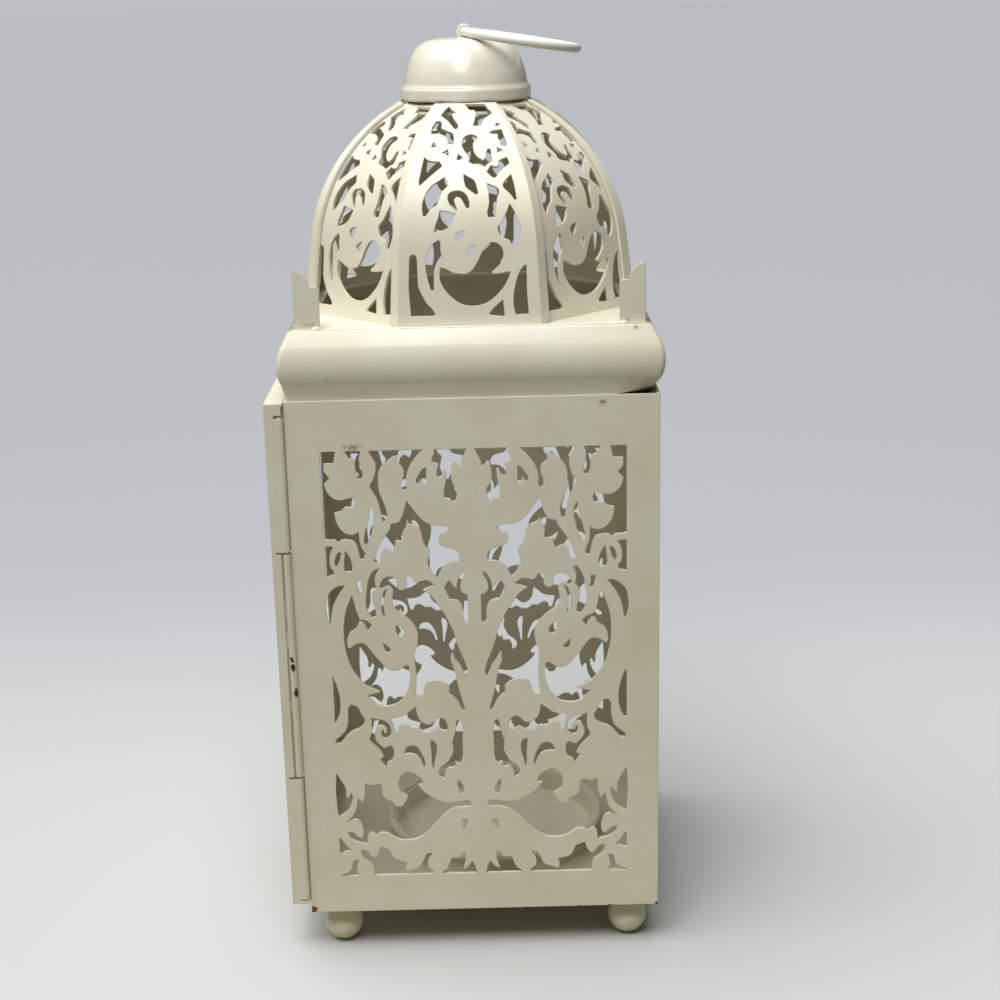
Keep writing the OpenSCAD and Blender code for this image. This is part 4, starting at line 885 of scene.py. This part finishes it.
@dataclass
class Door:
    """The side door: a shallow pan with a pierced face, on a rolled hinge."""

    enamel: Enamel = Enamel(
        name="baked_ivory_enamel_door",
        blemishes=(
            Blemish(Flaw.CHIP, (-61.75, -61.6, 109.4), (0.55, 0.9, 1.3)),
            Blemish(Flaw.CHIP, (-61.5, -61.5, 106.8), (0.65, 0.9, 1.7)),
            Blemish(Flaw.CHIP, (-60.95, -61.3, 97.8), (0.95, 0.9, 1.5)),
        ))
    # The hinge's wire is painted over like the rest, but it is steel in the record
    wire: Enamel = Enamel(name="baked_ivory_enamel_hinge_wire", slot=Slot.STEEL)
    wall: float = 0.6 * MM
    roll_r: float = 1.25 * MM
    axis: Pair = (-61.6 * MM, -60.4 * MM)
    strip_end: float = -63.5 * MM
    proud: float = 0.02 * MM
    tongue_end: float = -60.0 * MM
    # Degrees that a roll leaves open, and the steps round it
    seam: float = 24.0
    roll_steps: int = 48
    # Strips that close the slits behind the knuckles: the door's hem and the body's leaf
    hem: tuple[Triple, ...] = mm(
        (-63.9, -60.66, 0.0), (-62.97, -60.66, 0.1), (-62.97, -60.36, 0.12),
        (-63.9, -60.36, 0.12), (-63.9, -60.66, 0.0))
    leaf: tuple[Triple, ...] = mm(
        (-59.5, -59.02, 0.0), (-60.8, -59.02, 0.12), (-60.8, -58.74, 0.12),
        (-59.5, -58.74, 0.1), (-59.5, -59.02, 0.0))
    pin_r: float = 0.6 * MM
    pin_round: float = 0.25 * MM
    pin_head_r: float = 1.1 * MM
    pin_head_h: float = 0.8 * MM
    pin_head_wall: float = 0.15 * MM

    def pin(self) -> Solid:
        """Turns the hinge's wire, its upper end peened to a low dome.

        Returns:
            The wire, in its place.
        """
        low, high = (corner.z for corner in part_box("hinge_pin"))
        neck = high - self.pin_head_h
        dome = domed(self.pin_head_r, neck, self.pin_head_wall, self.pin_head_h, 8)
        foot = filleted([(0.0, low, 0.0), (self.pin_r, low, self.pin_round),
                         (self.pin_r, neck, 0.0)])
        return turned([*foot, (self.pin_head_r, neck), *dome], steps=40, middle=self.axis)

    def roll(self, low: float, high: float, side: int, end: float) -> Solid:
        """Rolls the edge of a sheet round the hinge's axis.

        Args:
            low: Height of the knuckle's lower end.
            high: Height of its upper end.
            side: -1 where the sheet leaves the roll at the front, 1 at the rear.
            end: Distance in x at which the sheet's flat stretch ends.

        Returns:
            The knuckle with its flat stretch.
        """
        inner, outer = self.roll_r - self.wall, self.roll_r
        start = 90 * side
        sweep = (360 - self.seam) * (1 if end < self.axis[0] else -1) * -side
        rounds = [arc(self.axis, r, start, start + sweep, self.roll_steps)
                  for r in (outer, inner)]
        face = self.axis[1] + side * outer
        back = self.axis[1] + side * inner
        outline = [(end, face + side * self.proud), *rounds[0], *reversed(rounds[1]),
                   (end, back)]
        n = len(outline)
        verts, faces = extruded(outline, low, high)
        # A ring this thin is closed by quads between its two arcs, not by one face
        del faces[n:]
        for i in range(n // 2 - 1):
            quad = (i, i + 1, n - 2 - i, n - 1 - i)
            faces += [quad, tuple(n + v for v in quad)]
        return verts, faces

    def build(self) -> None:
        """Merges the pressed pan of the door and builds its rolled knuckles."""
        welded("pressed_door", ("door_panel", "door_flange_top", "door_flange_low",
                                "door_flange_free", "door_flange_hinge"),
               self.enamel, Body.DOOR)
        piece("hinge_wire", self.pin(), self.wire, Body.DOOR, ["hinge_pin"])
        on_door = (Body.DOOR, -1, self.strip_end, self.leaf, Body.LANTERN)
        on_body = (Body.LANTERN, 1, self.tongue_end, self.hem, Body.DOOR)
        for node, (body, side, end, behind, other) in (("door_knuckle_top", on_door),
                                                       ("door_knuckle_low", on_door),
                                                       ("body_knuckle", on_body)):
            low, high = (corner.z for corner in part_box(node))
            rolled = self.roll(low, high, side, end)
            piece(node + "_rolled", rolled, self.enamel, body, [node])
            strip = extruded(filleted(behind, 3)[:-1], low, high)
            piece(node + "_backing", strip, self.enamel, other)


@dataclass
class Latch:
    """The hook that holds the door shut, its pivot and its stud."""

    steel: Steel = Steel(name="drawn_latch_steel")
    shank_r: float = 1.0 * MM
    head_r: float = 1.7 * MM
    head_h: float = 0.7 * MM
    head_wall: float = 0.12 * MM
    tail_r: float = 1.2 * MM
    # The peened tail's outline: shares of its radius, and heights
    tail_round: tuple[Pair, ...] = ((0.6, 0.08 * MM), (0.92, 0.3 * MM))

    def rivet(self, node: str, tail: bool) -> Solid:
        """Turns a rivet with a domed head on the place of a node.

        Args:
            node: Node of the rivet, which points to +Y.
            tail: Whether its other end is peened too.

        Returns:
            The rivet.
        """
        low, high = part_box(node)
        reach = high.y - low.y
        neck = reach - self.head_h
        head = domed(self.head_r, neck, self.head_wall, self.head_h, 10)
        foot = [(0.0, 0.0), (self.shank_r, 0.0)]
        if tail:
            foot = [(0.0, 0.0), *[(self.tail_r * share, up) for share, up in self.tail_round],
                    (self.tail_r, self.head_h), (self.shank_r, self.head_h)]
        verts, faces = turned([*foot, (self.shank_r, neck), (self.head_r, neck), *head],
                              steps=40)
        x, z = (low.x + high.x) / 2, (low.z + high.z) / 2
        return [Vector((x + v.x, low.y + v.z, z - v.y)) for v in verts], faces

    def build(self) -> None:
        """Builds the rivets and dresses the hook."""
        for node, tail, body in (("latch_pivot", True, Body.DOOR),
                                 ("latch_stud", False, Body.LANTERN)):
            piece(node + "_rivet", self.rivet(node, tail), self.steel, body, [node])
        dress(self.steel, "latch_hook")


@dataclass
class Cornice:
    """Half-round cornice over a plain band, mitred, welded and filled at its corners."""

    enamel: Enamel = Enamel(
        name="baked_ivory_enamel_cornice",
        gloss=(0.13, 0.24),
        blemishes=(
            Blemish(Flaw.GRIME, (52.6, -57.6, 217.6), (1.5, 1.4, 1.2)),
            Blemish(Flaw.CHIP, (-46.0, -61.5, 203.3), (0.28, 1.0, 0.22)),
            Blemish(Flaw.CHIP, (35.0, -60.5, 200.8), (0.3, 1.0, 0.25)),
        ))
    half: float = 60 * MM
    band_in: float = 0.5 * MM
    band_h: float = 5.2 * MM
    round_r: float = 14.65 * MM
    round_out: float = 1.7 * MM
    round_z: float = 10.8 * MM
    height: float = 22.2 * MM
    crown: tuple[Pair, ...] = mm((60.18, 17.3), (59.02, 19.55), (58.15, 21.2),
                                 (57.72, 21.98), (57.35, 22.27))
    lip: float = 54.6 * MM
    # How far the filled top stands over the plate's edge
    skin: float = 0.07 * MM
    # Mean settling, its unevenness and waves, and the height over which it grows
    inward: float = 0.12 * MM
    uneven: float = 0.12 * MM
    wave: float = 38 * MM
    settled: float = 10 * MM
    # A turned-in strip inside the walls, which shows only under the knocked corner. Its near-black
    # colour is painted shade for the gap under that corner
    steel: Steel = Steel(name="bare_skirt_steel", colour="#57533F", dark="#2E2B20",
                         rusted=0.62)
    skirt: tuple[Pair, ...] = mm((58.75, -3.0), (58.75, 2.2), (58.15, 2.2), (58.15, -3.0))
    corner: float = 1.6 * MM
    along: int = 48
    # Depth, reach and slope of the knock, and its shares along the axes
    dent: float = 2.6 * MM
    dent_reach: float = 15 * MM
    dent_slope: float = 1.2
    dent_shares: Triple = (-0.4, 1.0, 0.7)
    dent_rear_share: float = 0.8
    crease: float = 50.0

    def outline(self, inset: float) -> Profile:
        """Draws the cornice's outer face, moved in towards the lantern.

        Args:
            inset: How far it is moved in.

        Returns:
            Points [distance from the middle, height above the foot], from the foot up.
        """
        middle = self.half + self.round_out - self.round_r
        start = math.degrees(math.asin((self.band_h - self.round_z) / self.round_r))
        rise = min(1.0, (self.height - self.round_z) / (self.round_r - inset))
        bend = arc((middle, self.round_z), self.round_r - inset, start,
                   math.degrees(math.asin(rise)), 40)
        foot = (self.half - self.band_in - inset, 0.0)
        return [foot, *bend]

    def section(self) -> Profile:
        """Draws the section of a rail whose top runs on over the plate's edge.

        Returns:
            The closed section's points.
        """
        crown = curved(self.crown)
        outside = [p for p in self.outline(0.0) if p[1] < self.crown[0][1]] + crown
        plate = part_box("top_plate")[1].x + self.skin
        under = self.height - SHEET
        edge = [(self.lip, self.height + self.skin), (self.lip, self.height),
                (plate, self.height), (plate, under)]
        inside = [p for p in self.outline(SHEET) if p[1] < under]
        return [*outside, *edge, *reversed(inside)]

    def loop(self, out: float, up: float) -> list[Vector]:
        """Returns one loop round the lantern.

        Args:
            out: Distance of the loop's sides from the lantern's middle.
            up: Height above the cornice's foot.

        Returns:
            Points along the four sides, with a rounded corner between two of them.
        """
        straight = out - self.corner
        side = [(-straight + 2 * straight * k / self.along, -out) for k in range(self.along)]
        # The corner stops one step short of the next side's first point
        side += arc((straight, -straight), self.corner, -90, -6, 7)
        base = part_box("cornice_front")[0].z
        points = []
        for turn in range(4):
            c, s = math.cos(turn * TURN / 4), math.sin(turn * TURN / 4)
            points += [Vector((x * c - y * s, x * s + y * c, base + up)) for x, y in side]
        return points

    def dented(self, point: Vector, base: float) -> Vector:
        """Settles the cornice a little and pushes its front right corner in.

        Args:
            point: Point of the sound cornice.
            base: Height of the cornice's foot.

        Returns:
            The point in its knocked place.
        """
        away = math.hypot(point.x - self.half, (point.y + self.half) * self.dent_rear_share)
        near = max(0.0, 1 - away / self.dent_reach)
        low = min(1.0, max(0.0, 1 - (point.z - base) / self.band_h))
        push = self.dent * near ** self.dent_slope * low
        ripple = noise.noise(point / self.wave) * self.uneven
        share = min(1.0, max(0.0, (base + self.height - point.z) / self.settled))
        loose = share ** 2 * (3 - 2 * share)
        inward = Vector((-point.x, -point.y, 0)).normalized()
        knock = Vector([push * part for part in self.dent_shares])
        return point + knock + inward * (self.inward + ripple) * loose

    def swept(self, section: Profile) -> Solid:
        """Runs a closed section round the lantern and knocks its corner in.

        Args:
            section: Points [distance from the middle, height above the cornice's foot].

        Returns:
            The closed solid.
        """
        loops = [self.loop(out, up) for out, up in section]
        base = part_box("cornice_front")[0].z
        n, m = len(loops[0]), len(loops)
        verts = [self.dented(p, base) for loop in loops for p in loop]
        faces = []
        for j in range(m):
            near, far = j * n, (j + 1) % m * n
            faces += [(near + i, near + (i + 1) % n, far + (i + 1) % n, far + i)
                      for i in range(n)]
        return verts, faces

    def build(self) -> None:
        """Builds the welded cornice, and the skirt that plugs into the walls, coloured dark as
        painted shade.
        """
        piece("cornice_rails", self.swept(self.section()), self.enamel, Body.LANTERN,
              named("cornice_"), self.crease)
        piece("cornice_skirt", self.swept(list(self.skirt)), self.steel, Body.LANTERN)


@dataclass
class Top:
    """Top plate and its four corner finials, with the weld at their feet."""

    enamel: Enamel = Enamel(
        name="baked_ivory_enamel_top",
        blemishes=(
            Blemish(Flaw.SMUDGE, (-51.0, -55.8, 220.0), (3.4, 1.0, 1.3)),
            Blemish(Flaw.SMUDGE, (50.0, -55.8, 219.8), (2.6, 1.0, 1.0)),
        ))
    edge: float = 55.6 * MM
    leg: float = 8.2 * MM
    dab_r: float = 1.6 * MM
    dab_h: float = 1.1 * MM
    dab_in: float = 1.3 * MM
    # Degrees from which the dab's side rises, and size and strength of its lumps
    dab_turn: float = -10
    lump: float = 0.9 * MM
    lump_share: float = 0.22
    # Share by which one dab may be smaller than another
    spread: float = 0.35

    def dab(self) -> Solid:
        """Turns one flattened, lumpy dab of weld.

        Returns:
            The dab, its middle at the origin.
        """
        rim = [(x * self.dab_r, z * self.dab_h)
               for x, z in arc((0.0, 0.0), 1.0, self.dab_turn, 90, 8)]
        verts, faces = turned([(0.0, rim[0][1]), *rim], steps=24)
        return [v * (1 + self.lump_share * noise.noise(v / self.lump)) for v in verts], faces

    def build(self) -> None:
        """Dresses the plate and finials and builds the weld at their feet."""
        dress(self.enamel, "top_plate", *named("finial_"))
        copies = CornerCopies("weld_at_legs")
        out, end = 2 * self.edge, 2 * (self.edge - self.leg + self.dab_in)
        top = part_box("top_plate")[1].z
        for name, size, seed in (("weld_dabs_front_legs", (end, out), 3),
                                 ("weld_dabs_side_legs", (out, end), 5)):
            copies.run(name, self.dab(), size, top, self.enamel, (), self.spread, seed)


@dataclass
class Dome:
    """Eight pierced petals bent from flat sheet, and the plate inside their tops."""

    enamel: Enamel = Enamel(name="baked_ivory_enamel_dome")

    def build(self) -> None:
        """Dresses the dome."""
        dress(self.enamel, *named("petal_"), "dome_collar")


@dataclass
class Cap:
    """Spun cap with a rolled rim, its eye and the nut that clamps it."""

    enamel: Enamel = Enamel(name="baked_ivory_enamel_cap", colour="#E7E4D8",
                            gloss=(0.14, 0.24), patch=12 * MM)
    steel: Steel = Steel(name="zinc_plated_nut_steel", colour="#B9BAB6", dark="#7F817C")
    rim_r: float = 22 * MM
    rim_h: float = 4.4 * MM
    rim_round: Pair = (1.1 * MM, 1.3 * MM)
    # How far the rolled rim turns in below, and its lip inside
    curl: float = 1.2 * MM
    curl_h: float = 0.1 * MM
    lip: float = 1.9 * MM
    lip_z: Pair = (3.0 * MM, 0.9 * MM)
    # The step above the rim
    step_r: float = 21.0 * MM
    step_h: float = 0.4 * MM
    step_round: float = 0.5 * MM
    crown: tuple[Pair, ...] = mm((20.8, 5.7), (20.5, 7.4), (19.8, 10.1), (18.3, 14.0),
                                 (16.0, 17.2), (12.6, 19.2), (8.0, 20.0))
    height: float = 20.2 * MM
    hole_r: float = 1.85 * MM

    def profile(self) -> Profile:
        """Draws the section of the spun shell, from its rim up and back inside.

        Returns:
            The closed section's points.
        """
        low_round, high_round = self.rim_round
        rim = filleted([(self.rim_r - self.curl, self.curl_h, 0.0),
                        (self.rim_r, 0.0, low_round), (self.rim_r, self.rim_h, high_round),
                        (self.step_r, self.rim_h + self.step_h, self.step_round),
                        (*self.crown[0], 0.0)])
        side = curved([*self.crown, (self.hole_r, self.height)])
        inside = [(max(self.hole_r, r - SHEET), z - SHEET)
                  for r, z in reversed(side)]
        return [*rim, *side[1:], *inside, *[(self.rim_r - self.lip, z) for z in self.lip_z]]

    def build(self) -> None:
        """Builds the cap and dresses its eye and nut."""
        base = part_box("cap")[0].z
        section = [(r, base + z) for r, z in self.profile()]
        piece("spun_cap", turned(section, looped=True), self.enamel, Body.LANTERN, ["cap"])
        dress(self.enamel, "cap_eye")
        dress(self.steel, "eye_nut")


@dataclass
class Ring:
    """Carrying ring of thick wire, bent round and butted under the paint."""

    enamel: Enamel = Enamel(name="baked_ivory_enamel_ring", colour="#EFEDE6",
                            aged="#E6E2D6", wave_depth=0.1 * MM)

    def build(self) -> None:
        """Dresses the ring."""
        dress(self.enamel, "carry_ring")


@dataclass
class Dish:
    """Loose spun dish that holds the candle."""

    # Its colour, lighter than the other enamel, is painted light, which brightens the dish deep
    # inside the lantern
    enamel: Enamel = Enamel(name="baked_ivory_enamel_dish", colour="#F1ECDB",
                            aged="#EAE3CB")

    def build(self) -> None:
        """Dresses the dish."""
        dress(self.enamel, "candle_dish")


def main() -> None:
    """Builds the studio and every sub-assembly, in order."""
    logging.basicConfig(level=logging.INFO, format="%(message)s")
    for part in (Studio(), Walls(), Feet(), Door(), Latch(), Cornice(), Top(), Dome(), Cap(),
                 Ring(), Dish()):
        part.build()
        log.info("built %s", type(part).__name__)


if __name__ == "__main__":
    main()
